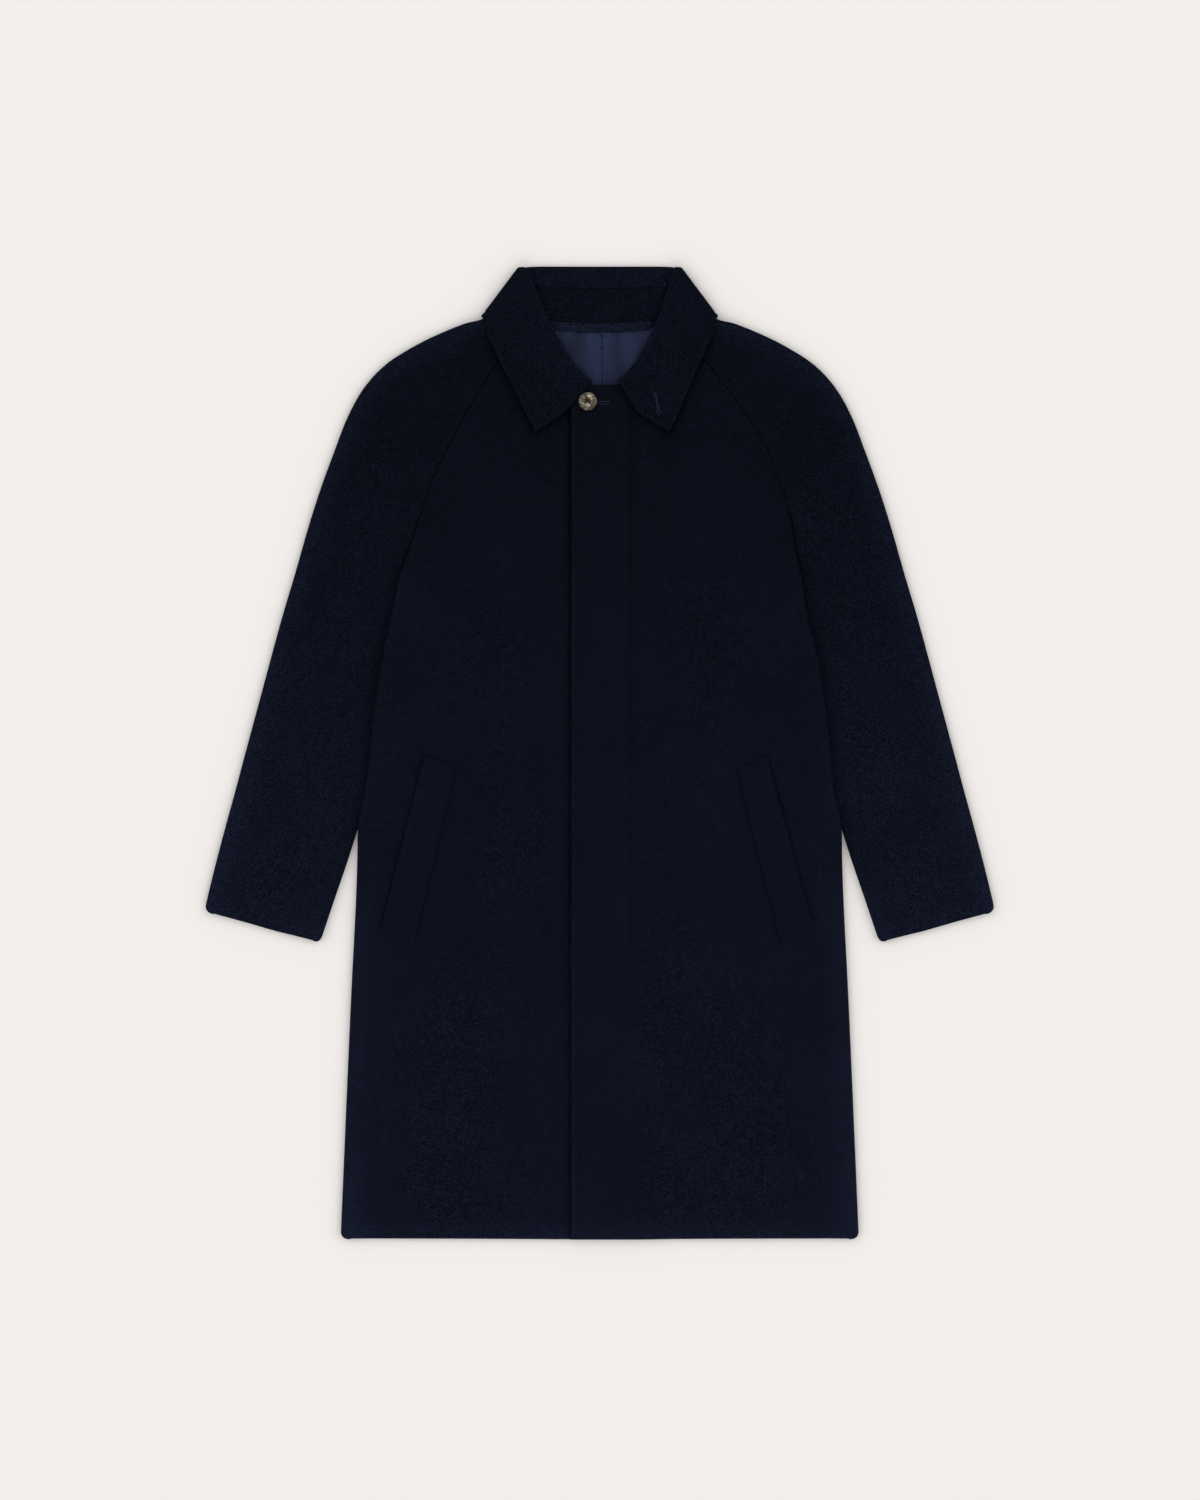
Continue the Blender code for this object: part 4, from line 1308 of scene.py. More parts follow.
def leaf_outline(side: Side) -> Array:
    """Plan points of a leaf's outline: its front edge from the fold to the tip, then its fall's edge."""
    frames = collar_frames()
    leaf = frames[: len(RIGHT_LEAF)] if side is Side.RIGHT else frames[-len(LEFT_LEAF) :][::-1]
    front = leaf[0]
    share = np.linspace(0.0, 1.0, 9)
    outline = [front.points(share * front.fall, np.ones(9), share)[:, :2]]
    outline += [one.points(np.array([one.fall]), np.ones(1), np.ones(1))[:, :2] for one in leaf[1:]]
    return np.concatenate(outline)


def leaf_shade(side: Side, x: Array, drop: Array) -> Array:
    """Change of brightness in the soft shade beside a leaf of the collar."""
    away = away_from(leaf_outline(side), x, drop)
    return -0.18 * bump(away, 11.0) - 0.36 * bump(away, 3.6)


def collar_frames() -> list[CollarFrame]:
    """Frames of the collar from the right leaf's edge, round the back, to the left leaf's edge."""
    turns = [step / 6.0 for step in range(7)]
    frames = [CollarFrame.of_section(row, Side.RIGHT, None) for row in RIGHT_LEAF]
    frames += [CollarFrame.of_corner(Side.RIGHT, turn) for turn in turns]
    frames += [CollarFrame.of_section(row, Side.RIGHT, 1.0) for row in BACK_COLLAR]
    frames += [CollarFrame.of_section(row, Side.LEFT, 1.0) for row in BACK_COLLAR[-2::-1]]
    frames += [CollarFrame.of_corner(Side.LEFT, turn) for turn in reversed(turns)]
    frames += [CollarFrame.of_section(row, Side.LEFT, None) for row in reversed(LEFT_LEAF)]
    return frames


def ringed(rows: Array, spacing: float, depth: float, stops: Sequence[float]) -> tuple[Array, Array]:
    """Draws sections of a ring closer together.

    Args:
        rows: Points of the known sections.
        spacing: Widest step allowed.
        depth: Depth of the rim at both ends.
        stops: Distances beyond the rim, at both ends, that get a section.

    Returns:
        Points of the close sections, and their places along the ring.
    """
    steps = np.linalg.norm(np.diff(rows, axis=0), axis=2).mean(axis=1)
    places = run_places(steps)
    start, end = depth, places[-1] - depth
    extras = [start, end, *[start + stop for stop in stops], *[end - stop for stop in stops]]
    wanted = spaced(places, spacing, 2, extras)
    wanted = wanted[(wanted > start + 0.2) & (wanted < end - 0.2)]
    wanted = np.concatenate([[start], wanted, [end]])
    flat = eased_curve(places, rows.reshape(len(rows), -1), wanted)
    return flat.reshape(len(wanted), *rows.shape[1:]), wanted


def ring_uv(points: Array, ring: Array) -> Array:
    """Places on the cloth of a ring's points, from their places along the ring."""
    down = run_places(np.linalg.norm(np.diff(points, axis=1), axis=2).mean(axis=0))
    return np.stack(np.broadcast_arrays(ring[:, None], down[None, :]), axis=2)


@dataclass
class Collar(Piece):
    """The collar: roll, rounded fold and fall, in one ring round the neck."""

    roll_columns: int = 8
    rim_columns: int = 8
    fall_columns: int = 14
    spacing: float = 4.0
    stitch: SewnEdge = SewnEdge()
    to_edge: Array | None = field(default=None, init=False)
    to_front: Array | None = field(default=None, init=False)

    def shell(self) -> Shell:
        """Shell of the collar."""
        frames = collar_frames()
        rim = (CollarFrame.FALL_REACH - CollarFrame.ROLL_REACH) / 2.0
        angle = np.linspace(0.0, math.pi, self.rim_columns + 1)
        rows = []
        edges = []
        for one in frames:
            roll = np.linspace(one.roll - SEAM_RIM, 0.0, self.roll_columns + 1)[:-1]
            fall = stations(0.0, one.fall - RIM, self.fall_columns, (), self.stitch.stops(RIM))[1:]
            reach = np.concatenate([roll, -rim * np.sin(angle), fall])
            layer = np.concatenate([np.zeros(len(roll)), (1.0 - np.cos(angle)) / 2.0, np.ones(len(fall))])
            share = np.concatenate([np.zeros(len(roll) + len(angle)), fall / one.fall])
            rows.append(one.points(reach, layer, share))
            edges.append(one.fall - reach)
        points, ring = ringed(np.array(rows), self.spacing, RIM, self.stitch.stops(RIM))
        places = run_places(np.linalg.norm(np.diff(np.array(rows), axis=0), axis=2).mean(axis=1))
        to_edge = eased_curve(places, np.array(edges), ring)
        first_fall = self.roll_columns + len(angle)
        to_front = np.minimum(ring, places[-1] - ring)[:, None]
        distance = np.minimum(to_edge, to_front)
        on_fall = np.zeros(points.shape[1])
        on_fall[first_fall:] = 1.0
        relief = self.stitch.relief(distance) * on_fall
        # Painted highlight and shade along the sewn edge, a painted dark line at the rim for the shadow that
        # the fall's edge casts, and the fall drawn darker all over
        lit = (self.stitch.lit(distance) - 0.2 - 0.12 * bump(distance - RIM, 0.9)) * on_fall
        outer_at = (6, first_fall + self.fall_columns // 2)
        depths = (RIM, RIM, 0.5, RIM)
        self.to_edge, self.to_front = to_edge, to_front[:, 0]
        return Shell(points, ring_uv(points, ring), depths=depths, relief=relief, lit=lit, outer_at=outer_at)


@dataclass
class CollarStand(Piece):
    """The collar's stand, from under the roll down to the neckline."""

    columns: int = 8
    spacing: float = 4.0
    least_height: float = 6.0
    shade: float = -0.22

    def shell(self) -> Shell:
        """Shell of the stand."""
        rows = []
        for one in collar_frames():
            roll, neck = one.roll + SEAM, one.neck - SEAM / 2.0
            if neck - roll < self.least_height:
                continue
            reach = np.linspace(roll + 0.5, neck - 0.5, self.columns + 1)
            rows.append(one.points(reach, np.zeros(len(reach)), np.zeros(len(reach))))
        points, ring = ringed(np.array(rows), self.spacing, SEAM_RIM, ())
        middle = (len(ring) // 2, self.columns // 2)
        lit = np.full(points.shape[:2], self.shade)
        depths = (SEAM_RIM, SEAM_RIM, 0.5, 0.5)
        return Shell(points, ring_uv(points, ring), depths=depths, lit=lit, outer_at=middle)


@dataclass
class NeckLining(Piece):
    """The lining that shows in the neck, with a pleat down its middle and soft folds."""

    reach: float = 78.0
    first_place: float = 1.0
    last_place: float = 8.0
    gap: float = 2.0
    columns: int = 96
    sections: int = 72
    thickness: float = 0.7
    pleat_x: float = 2.5

    def folds(self, x: Array, drop: Array) -> Array:
        """Soft folds of the lining, and the step of its pleat."""
        waves = 0.22 * np.sin(x * 0.16 + drop * 0.012) + 0.14 * np.sin(x * 0.31 - drop * 0.03 + 1.0)
        hollow = -0.35 * bump(x + 22.0, 9.0) * falling(drop, 100.0, 30.0)
        pleat = 0.3 * smooth((x - self.pleat_x + 0.5) / 1.0) * bump(x - self.pleat_x - 1.0, 14.0)
        crease = -0.45 * bump(x - self.pleat_x, 0.8)
        return waves + hollow + pleat + crease

    def shell(self) -> Shell:
        """Shell of the lining."""
        specs = back_specs()
        places = spec_places(specs)
        wanted = np.linspace(places[int(self.first_place)], places[int(self.last_place)], self.sections)
        side = stations(-self.reach + THIN_RIM, self.reach - THIN_RIM, self.columns, (), ())
        near = self.pleat_x + np.array([-1.6, -0.8, 0.0, 0.8, 1.6])
        side = np.unique(np.concatenate([side[np.abs(side - self.pleat_x) > 2.2], near]))
        rows = []
        for spec in eased_curve(places, specs, wanted):
            drop = back_drops(spec, side)
            z = LAYERS.back(side, drop) + self.gap - 0.1 + self.folds(side, drop)
            rows.append(np.stack([side, drop, z], axis=1))
        points = np.array(rows)
        x, drop = points[..., 0], points[..., 1]
        # Painted light and shade of the lining: highlights and shade on its soft folds, painted shade in the
        # hollow at its upper left, painted shadow under the facing and beside the collar's leaves, and a
        # painted dark line in the pleat's crease with a painted highlight beside it
        lit = 0.1 * np.sin(x * 0.16 + drop * 0.02 + 0.8) + 0.06 * np.sin(x * 0.31 - drop * 0.03 + 1.0)
        lit = lit - 0.3 * bump(x + 27.0 + (drop - 80.0) * 0.2, 7.0) * falling(drop, 84.0, 26.0)
        lit = lit - 0.3 * bump(drop - 66.0, 9.0) - 0.25 * bump(np.abs(x) - 46.0 + (drop - 66.0) * 0.5, 9.0)
        lit = lit - 0.55 * bump(x - self.pleat_x, 1.1) + 0.12 * bump(x - self.pleat_x - 3.0, 1.5)
        return thin_shell(points, self.thickness, lit)


@dataclass
class NeckFacing(Piece):
    """The narrow wool facing between the collar's stand and the lining."""

    reach: float = 55.0
    start: float = -0.5
    end: float = 9.6
    gap: float = 1.55
    rise: float = 1.1
    columns: int = 60
    sections: int = 12
    thickness: float = 0.5
    shade: float = 0.7

    def shell(self) -> Shell:
        """Shell of the facing, which climbs from the neckline onto the lining."""
        x = np.linspace(-self.reach, self.reach, self.columns)
        top = back_drops(back_specs()[0], x)
        rows = []
        for down in np.linspace(self.start, self.end, self.sections):
            drop = top + down
            climb = rising(down, 1.0, 4.5)
            z = LAYERS.back(x, drop) + self.gap + self.rise * climb
            rows.append(np.stack([x, drop, z], axis=1))
        points = np.array(rows)
        lit = np.full(points.shape[:2], self.shade)
        return thin_shell(points, self.thickness, lit)


@dataclass
class Welt(Piece):
    """A pocket welt: its outer edge is the opening, and its other edges are sewn down to the front."""

    side: Side = Side.RIGHT
    corners: Sequence[tuple[float, float]] = ()
    level: Level = LAYERS.front
    droop: float = 1.0
    columns: int = 12
    stitch: SewnEdge = SewnEdge(TOPSTITCH, 0.3, 0.4, 1.0)

    def downs(self) -> tuple[Array, float]:
        """Places of the rows down the welt, and its length."""
        length = math.dist(self.corners[0], self.corners[3])
        stops = self.stitch.stops(1.0)
        return stations(1.0, length - 1.0, 34, stops, stops), length

    def stitch_rows(self) -> tuple[int, int]:
        """Rows that the stitches of both ends lie on."""
        downs, length = self.downs()
        first = int(np.argmin(np.abs(downs - self.stitch.stitch)))
        last = int(np.argmin(np.abs(length - downs - self.stitch.stitch)))
        return first, last

    def shell(self) -> Shell:
        """Shell of the welt."""
        upper_outer, upper_inner, lower_inner, lower_outer = self.corners
        downs, length = self.downs()
        width = math.dist(upper_outer, upper_inner)
        acrosses = stations(1.0, width - 1.0, self.columns, (0.9, 2.0, 3.5), (0.9, 2.0, 4.0, 6.0))
        rows = []
        for down in downs:
            outer = between(upper_outer, lower_outer, down / length)
            inner = between(upper_inner, lower_inner, down / length)
            share = (acrosses / width)[:, None]
            place = np.array(outer) + (np.array(inner) - np.array(outer)) * share
            x, drop = self.side.value * place[:, 0], place[:, 1]
            end = min(down, length - down)
            sewn = np.minimum(width - acrosses, end)
            z = self.level(x, drop) + STACK + creased(FRONT_CREASES, x, drop)
            rows.append(np.stack([x, drop, z - self.droop * (1.0 - smooth(sewn / 5.0))], axis=1))
        points = np.array(rows)
        ends = np.minimum(downs, length - downs)[:, None]
        relief = self.stitch.relief(ends) * np.ones(len(acrosses)) + 0.2 * bump(acrosses - 3.0, 2.5)
        # Painted highlight and shade at the stitched ends, a painted highlight inside the opening's edge, a
        # painted shadow along the opening and painted shade along the sewn inner edge
        lit = self.stitch.lit(ends) - 0.25 * bump(ends - 1.0, 0.9) + 0.12 * bump(acrosses - 4.0, 2.5)
        lit = lit - 0.6 * bump(acrosses - 1.0, 0.9) - 0.4 * bump(width - acrosses - 1.0, 1.0)
        return Shell(points, points[..., :2].copy(), 2.0, (1.0, 1.0, 1.0, 1.0), relief=relief, lit=lit)


def baked_mesh(thing: Thing, name: str) -> Mesh:
    """Mesh of an object with its modifiers, in the world's frame; the object is removed."""
    graph = bpy.context.evaluated_depsgraph_get()
    mesh = bpy.data.meshes.new_from_object(thing.evaluated_get(graph))
    mesh.transform(thing.matrix_world)
    mesh.name = name
    bpy.data.objects.remove(thing, do_unlink=True)
    return mesh


@dataclass
class TopButton:
    """The four-hole horn button: a turned disc with a rounded rim, a dished middle and drilled holes.

    The holes' middles lie a reach from the button's middle.
    """

    radius: float = 10.0
    height: float = 4.0
    rim: float = 2.6
    dish: float = 1.2
    hole_radius: float = 1.1
    hole_reach: float = 2.3
    steps: int = 72

    def middle(self, rise: float = 0.0) -> Vector:
        """Middle of the button's underside in the row's frame, metres, raised by some millimetres."""
        x, drop = BUTTON_PLACE
        base = float(LAYERS.lapped(np.array(x), np.array(drop))) + WALL / 2.0 + SEAM
        return Vector((x, MIDDLE_DROP - drop, base + rise)) * MM

    def profile(self) -> list[tuple[float, float]]:
        """Radii and heights from the middle of the dish, over the rim, to the middle of the underside."""
        top, inside = self.height, self.radius - self.rim
        points = [(0.0, top - self.dish), (inside * 0.55, top - self.dish * 0.98)]
        points += [(inside * 0.8, top - self.dish * 0.84), (inside * 0.95, top - self.dish * 0.45)]
        points += [(inside + 0.35, top - 0.12), (inside + 1.0, top), (self.radius - 1.0, top - 0.12)]
        for step in range(1, 8):
            angle = math.pi / 2.0 * step / 7.0
            points.append((self.radius - 1.0 + math.sin(angle), top - 0.12 - 1.0 + math.cos(angle)))
        points += [(self.radius, 1.6), (self.radius - 0.3, 0.9), (self.radius - 1.6, 0.25)]
        return [*points, (self.radius - 3.0, 0.0), (0.0, 0.0)]

    def turned(self) -> Thing:
        """Turned disc, before its holes are drilled."""
        shape = bmesh.new()
        rings = []
        centre = self.middle()
        for radius, z in self.profile():
            if radius == 0.0:
                rings.append([shape.verts.new(centre + Vector((0.0, 0.0, z * MM)))])
                continue
            ring = []
            for step in range(self.steps):
                angle = math.tau * step / self.steps
                place = Vector((math.cos(angle) * radius, math.sin(angle) * radius, z)) * MM
                ring.append(shape.verts.new(centre + place))
            rings.append(ring)
        for upper, lower in zip(rings[:-1], rings[1:]):
            for step in range(self.steps):
                after = (step + 1) % self.steps
                corners = [upper[step % len(upper)], lower[step % len(lower)]]
                corners += [lower[after % len(lower)], upper[after % len(upper)]]
                shape.faces.new(list(dict.fromkeys(corners)))
        bmesh.ops.recalc_face_normals(shape, faces=shape.faces)
        return linked("turned_button", shaped("top_button", shape))

    def hole_places(self) -> list[Vector]:
        """Places of the four holes in the row's frame, at the button's top."""
        turns = [math.pi / 4.0 + index * math.pi / 2.0 for index in range(4)]
        shifts = [Vector((math.cos(turn), math.sin(turn), 0.0)) * self.hole_reach * MM for turn in turns]
        return [self.middle(self.height) + shift for shift in shifts]

    def drills(self) -> Thing:
        """Four cylinders to cut the holes with."""
        shape = bmesh.new()
        for place in self.hole_places():
            size = {name: self.hole_radius * MM for name in ("radius1", "radius2")}
            size["depth"] = self.height * 4.0 * MM
            made = bmesh.ops.create_cone(shape, cap_ends=True, segments=20, **size)
            bmesh.ops.translate(shape, verts=made["verts"], vec=place)
        return linked("drills", shaped("drills", shape))

    def build(self, material: Material) -> Thing:
        """Makes the button with its holes.

        Args:
            material: Finish of the horn.

        Returns:
            The object.
        """
        disc, drills = self.turned(), self.drills()
        holes = disc.modifiers.new("holes", "BOOLEAN")
        holes.object = drills
        holes.operation = "DIFFERENCE"
        holes.solver = "EXACT"
        mesh = baked_mesh(disc, "top_button_horn")
        bpy.data.objects.remove(drills, do_unlink=True)
        mesh.shade_smooth()
        mesh.set_sharp_from_angle(angle=math.radians(45.0))
        thing = made_object("top_button_horn", mesh, material)
        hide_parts("top_button")
        LOG.info("button: %d faces", len(mesh.polygons))
        return thing


def add_tube(shape: bmesh.types.BMesh, points: Sequence[Vector], radius: float, sides: int) -> None:
    """Adds a round tube along points, closed at both ends.

    Args:
        shape: Mesh that gets the tube.
        points: Centre line in metres.
        radius: Radius in metres.
        sides: Corners of its cross section.
    """
    rings, faces = [], []
    for index, point in enumerate(points):
        before, after = points[max(index - 1, 0)], points[min(index + 1, len(points) - 1)]
        run = (after - before).normalized()
        side = run.cross(Vector((0.0, 0.0, 1.0)))
        side = side.normalized() if side.length > 1e-6 else Vector((1.0, 0.0, 0.0))
        other = run.cross(side)
        turns = [math.tau * step / sides for step in range(sides)]
        places = [point + (side * math.cos(turn) + other * math.sin(turn)) * radius for turn in turns]
        rings.append([shape.verts.new(place) for place in places])
    for first, second in zip(rings[:-1], rings[1:]):
        for step in range(sides):
            after = (step + 1) % sides
            faces.append(shape.faces.new((first[step], first[after], second[after], second[step])))
    faces += [shape.faces.new(rings[0][::-1]), shape.faces.new(rings[-1])]
    bmesh.ops.recalc_face_normals(shape, faces=faces)


@dataclass
class ButtonThread:
    """Thread that crosses between the button's holes."""

    radius: float = 0.42
    strands: int = 2
    sides: int = 8

    def build(self, button: TopButton, material: Material) -> Thing:
        """Makes the crossed strands.

        Args:
            button: Button that they hold.
            material: Finish of the thread.

        Returns:
            The object.
        """
        whole = bmesh.new()
        holes = button.hole_places()
        floor = -button.dish * MM
        for pair, (first, second) in enumerate(((holes[0], holes[2]), (holes[1], holes[3]))):
            run = (second - first).normalized()
            side = run.cross(Vector((0.0, 0.0, 1.0)))
            crest = (0.45 + 0.5 * pair) * MM
            for strand in range(self.strands):
                shift = side * (strand - (self.strands - 1) / 2.0) * self.radius * 1.7 * MM
                points = []
                for step in range(15):
                    share = step / 14.0
                    arch = math.sin(math.pi * share)
                    place = first + (second - first) * share + shift * (0.5 + 0.5 * arch)
                    sink = -1.6 * MM * (1.0 - min(arch * 2.2, 1.0))
                    points.append(place + Vector((0.0, 0.0, floor + sink + crest * arch)))
                add_tube(whole, points, self.radius * MM, self.sides)
        mesh = shaped("button_thread", whole)
        mesh.shade_smooth()
        return made_object("button_thread", mesh, material)


class StitchKind(Enum):
    """How the stitches of a run lie: along its line, or across it as on a buttonhole's bead."""

    ALONG = 0.0
    ACROSS = 1.0


def add_node(
    tree: Tree, kind: str, values: dict | None = None, links: dict | None = None, **settings
) -> Node:
    """Adds one node with its settings, input values and links.

    Args:
        tree: Tree that gets the node.
        kind: Blender's name of the node type.
        values: Values of inputs, by name or index.
        links: Sockets that feed inputs, by name or index.
        **settings: Attributes of the node.

    Returns:
        The node.
    """
    made = tree.nodes.new(kind)
    for name, value in settings.items():
        setattr(made, name, value)
    for name, value in (values or {}).items():
        made.inputs[name].default_value = value
    for name, source in (links or {}).items():
        tree.links.new(source, made.inputs[name])
    return made


def stitch_tree() -> Tree:
    """Geometry tree that lays thread stitches along lines, with named inputs and a fixed jitter."""
    tree = bpy.data.node_groups.new("stitch_run", "GeometryNodeTree")
    tree.interface.new_socket("Geometry", in_out="INPUT", socket_type="NodeSocketGeometry")
    for name, value in (("Pitch", 0.0036), ("Length", 0.003), ("Radius", 0.0004), ("Across", 0.0)):
        tree.interface.new_socket(name, in_out="INPUT", socket_type="NodeSocketFloat").default_value = value
    tree.interface.new_socket("Thread", in_out="INPUT", socket_type="NodeSocketMaterial")
    tree.interface.new_socket("Geometry", in_out="OUTPUT", socket_type="NodeSocketGeometry")
    add = partial(add_node, tree)
    source = add("NodeGroupInput").outputs
    curve = add("GeometryNodeMeshToCurve", links={"Mesh": source["Geometry"]}).outputs["Curve"]
    links = {"Curve": curve, "Length": source["Pitch"]}
    spread = add("GeometryNodeResampleCurve", mode="LENGTH", links=links).outputs["Curve"]
    # Each bead's long axis lies along the line or across it, shaken a little
    tangent = add("GeometryNodeInputTangent").outputs["Tangent"]
    upright = {1: (0.0, 0.0, 1.0)}
    crossed = add("ShaderNodeVectorMath", operation="CROSS_PRODUCT", values=upright, links={0: tangent})
    links = {"Factor": source["Across"], 4: tangent, 5: crossed.outputs["Vector"]}
    run = add("ShaderNodeMix", data_type="VECTOR", links=links).outputs[1]
    reach = {"Min": (-0.07, -0.07, -0.03), "Max": (0.07, 0.07, 0.03), "Seed": 11}
    jitter = add("FunctionNodeRandomValue", data_type="FLOAT_VECTOR", values=reach).outputs["Value"]
    shaken = add("ShaderNodeVectorMath", operation="ADD", links={0: run, 1: jitter}).outputs["Vector"]
    turn = add("FunctionNodeAlignRotationToVector", axis="X", links={"Vector": shaken}).outputs["Rotation"]
    bead = add("GeometryNodeMeshUVSphere", values={"Segments": 8, "Rings": 5, "Radius": 1.0}).outputs["Mesh"]
    half_length = maths(tree, "MULTIPLY", source["Length"], 0.5)
    links = {"X": half_length, "Y": source["Radius"], "Z": source["Radius"]}
    size = add("ShaderNodeCombineXYZ", links=links).outputs["Vector"]
    links = {"Points": spread, "Instance": bead, "Rotation": turn, "Scale": size}
    placed = add("GeometryNodeInstanceOnPoints", links=links).outputs["Instances"]
    real = add("GeometryNodeRealizeInstances", links={"Geometry": placed}).outputs["Geometry"]
    links = {"Geometry": real, "Material": source["Thread"]}
    finished = add("GeometryNodeSetMaterial", links=links).outputs["Geometry"]
    add("NodeGroupOutput", links={"Geometry": finished})
    return tree


@dataclass
class StitchRun:
    """Stitches along one or more lines that lie on the cloth."""

    name: str
    lines: list[Array]
    pitch: float = 3.6
    length: float = 2.8
    radius: float = 0.38
    kind: StitchKind = StitchKind.ALONG

    def build(self, tree: Tree, material: Material) -> Thing:
        """Makes the run's mesh from the geometry tree.

        Args:
            tree: The stitch tree.
            material: Finish of the thread.

        Returns:
            The object.
        """
        mesh = bpy.data.meshes.new(self.name)
        points: list[list[float]] = []
        edges: list[tuple[int, int]] = []
        for line in self.lines:
            first = len(points)
            points.extend(line.tolist())
            edges.extend((first + step, first + step + 1) for step in range(len(line) - 1))
        mesh.from_pydata(points, edges, [])
        thing = linked(f"{self.name}_line", mesh)
        modifier = thing.modifiers.new("stitches", "NODES")
        modifier.node_group = tree
        values = {
            "Pitch": self.pitch * MM,
            "Length": self.length * MM,
            "Radius": self.radius * MM,
            "Across": self.kind.value,
            "Thread": material,
        }
        for socket in tree.interface.items_tree:
            if socket.in_out == "INPUT" and socket.name in values:
                modifier[socket.identifier] = values[socket.name]
        made = baked_mesh(thing, self.name)
        made.shade_smooth()
        LOG.info("stitches %s: %d faces", self.name, len(made.polygons))
        return made_object(self.name, made, material)


def surface_height(piece: Piece, x: float, drop: float) -> Array:
    """Point of a piece's outer face nearest to a plan place, in metres."""
    outer = piece.made.outer()
    plan = np.array([x * MM, (MIDDLE_DROP - drop) * MM])
    away = np.hypot(outer[..., 0] - plan[0], outer[..., 1] - plan[1])
    near = np.where(away < max(float(away.min()) * 1.5, 3.0 * MM), outer[..., 2], 0.0)
    return np.array([plan[0], plan[1], near.max()])


def plan_line(piece: Piece, places: Sequence[Sequence[float]], lift: float) -> Array:
    """Line over a piece's outer face through plan places, lifted off it by some millimetres."""
    points = [surface_height(piece, x, drop) for x, drop in places]
    return np.array(points) + np.array([0.0, 0.0, lift * MM])


def stitch_column(piece: Piece, distances: Array, stitch: float, rows: Array, lift: float) -> Array:
    """Line along a piece's column that lies nearest to a distance from its edge.

    Args:
        piece: Piece that is sewn.
        distances: Distance from the edge at each column of a middle row.
        stitch: Wanted distance.
        rows: Rows that the line takes, as a mask.
        lift: Height over the outer face, millimetres.

    Returns:
        The line in metres.
    """
    column = int(np.argmin(np.abs(distances - stitch)))
    return piece.made.outer(lift)[rows, column]


def linear(hex_colour: str) -> tuple[float, float, float, float]:
    """Linear colour of an sRGB hex code such as '#0F121D', with full alpha."""
    parts = [int(hex_colour[index : index + 2], 16) / 255.0 for index in (1, 3, 5)]
    lit = [part / 12.92 if part <= 0.04045 else ((part + 0.055) / 1.055) ** 2.4 for part in parts]
    return (*lit, 1.0)


def new_material(name: str) -> tuple[Material, Tree, Node]:
    """New material with its tree and its Principled shader."""
    material = bpy.data.materials.new(name)
    material.use_nodes = True
    tree = material.node_tree
    return material, tree, tree.nodes["Principled BSDF"]


def set_shader(shader: Node, **values: float | tuple) -> None:
    """Sets constants on the Principled shader, with underscores for the spaces in their names."""
    for name, value in values.items():
        shader.inputs[name.replace("_", " ")].default_value = value


def maths(
    tree: Tree, operation: str, first: Value, second: Value | None = None, clamp: bool = False
) -> Socket:
    """Adds a math node and gives its output.

    Args:
        tree: Tree that gets the node.
        operation: Blender's name of the operation.
        first: First operand, a number or a socket.
        second: Second operand, a number or a socket, if it has one.
        clamp: Whether the result is kept from 0 to 1.

    Returns:
        The output socket.
    """
    made = add_node(tree, "ShaderNodeMath", operation=operation, use_clamp=clamp)
    for index, operand in enumerate((first, second)):
        if isinstance(operand, Socket):
            tree.links.new(operand, made.inputs[index])
        elif operand is not None:
            made.inputs[index].default_value = operand
    return made.outputs[0]


def weighted(tree: Tree, *parts: tuple[Socket, float]) -> Socket:
    """Sum of sockets, each times its weight."""
    total = maths(tree, "MULTIPLY", *parts[0])
    for socket, weight in parts[1:]:
        total = maths(tree, "ADD", total, maths(tree, "MULTIPLY", socket, weight))
    return total


def noise(
    tree: Tree, place: Socket, scale: float, detail: float, rough: float = 0.5, bend: float = 0.0
) -> Socket:
    """Noise texture over a place socket; its distortion is the bend. Gives its output."""
    values = {"Scale": scale, "Detail": detail, "Roughness": rough, "Distortion": bend}
    return add_node(tree, "ShaderNodeTexNoise", values=values, links={"Vector": place}).outputs["Fac"]


def blend(tree: Tree, share: Socket, start: Socket | str, end: str) -> Socket:
    """Colour between a start, a hex code or a socket, and a hex code at the end."""
    made = add_node(tree, "ShaderNodeMix", data_type="RGBA", values={7: linear(end)}, links={0: share})
    if isinstance(start, str):
        made.inputs[6].default_value = linear(start)
    else:
        tree.links.new(start, made.inputs[6])
    return made.outputs[2]


def toned(tree: Tree, colour: Socket) -> Socket:
    """Colour made paler or darker by the painted light and shade in the cloth's brightness attribute."""
    lit = add_node(tree, "ShaderNodeAttribute", attribute_name="lit").outputs["Fac"]
    links = {0: colour, "Scale": maths(tree, "ADD", lit, 1.0)}
    return add_node(tree, "ShaderNodeVectorMath", operation="SCALE", links=links).outputs["Vector"]


def scaled(tree: Tree, place: Socket, scale: tuple[float, float, float]) -> Socket:
    """Places stretched apart along each axis."""
    mapped = add_node(tree, "ShaderNodeMapping", values={"Scale": scale}, links={"Vector": place})
    return mapped.outputs["Vector"]


def grained(tree: Tree, shader: Node, height: Socket, strength: float, distance: float) -> None:
    """Roughens a shader's surface by a height socket."""
    values = {"Strength": strength, "Distance": distance}
    bumped = add_node(tree, "ShaderNodeBump", values=values, links={"Height": height})
    tree.links.new(bumped.outputs["Normal"], shader.inputs["Normal"])


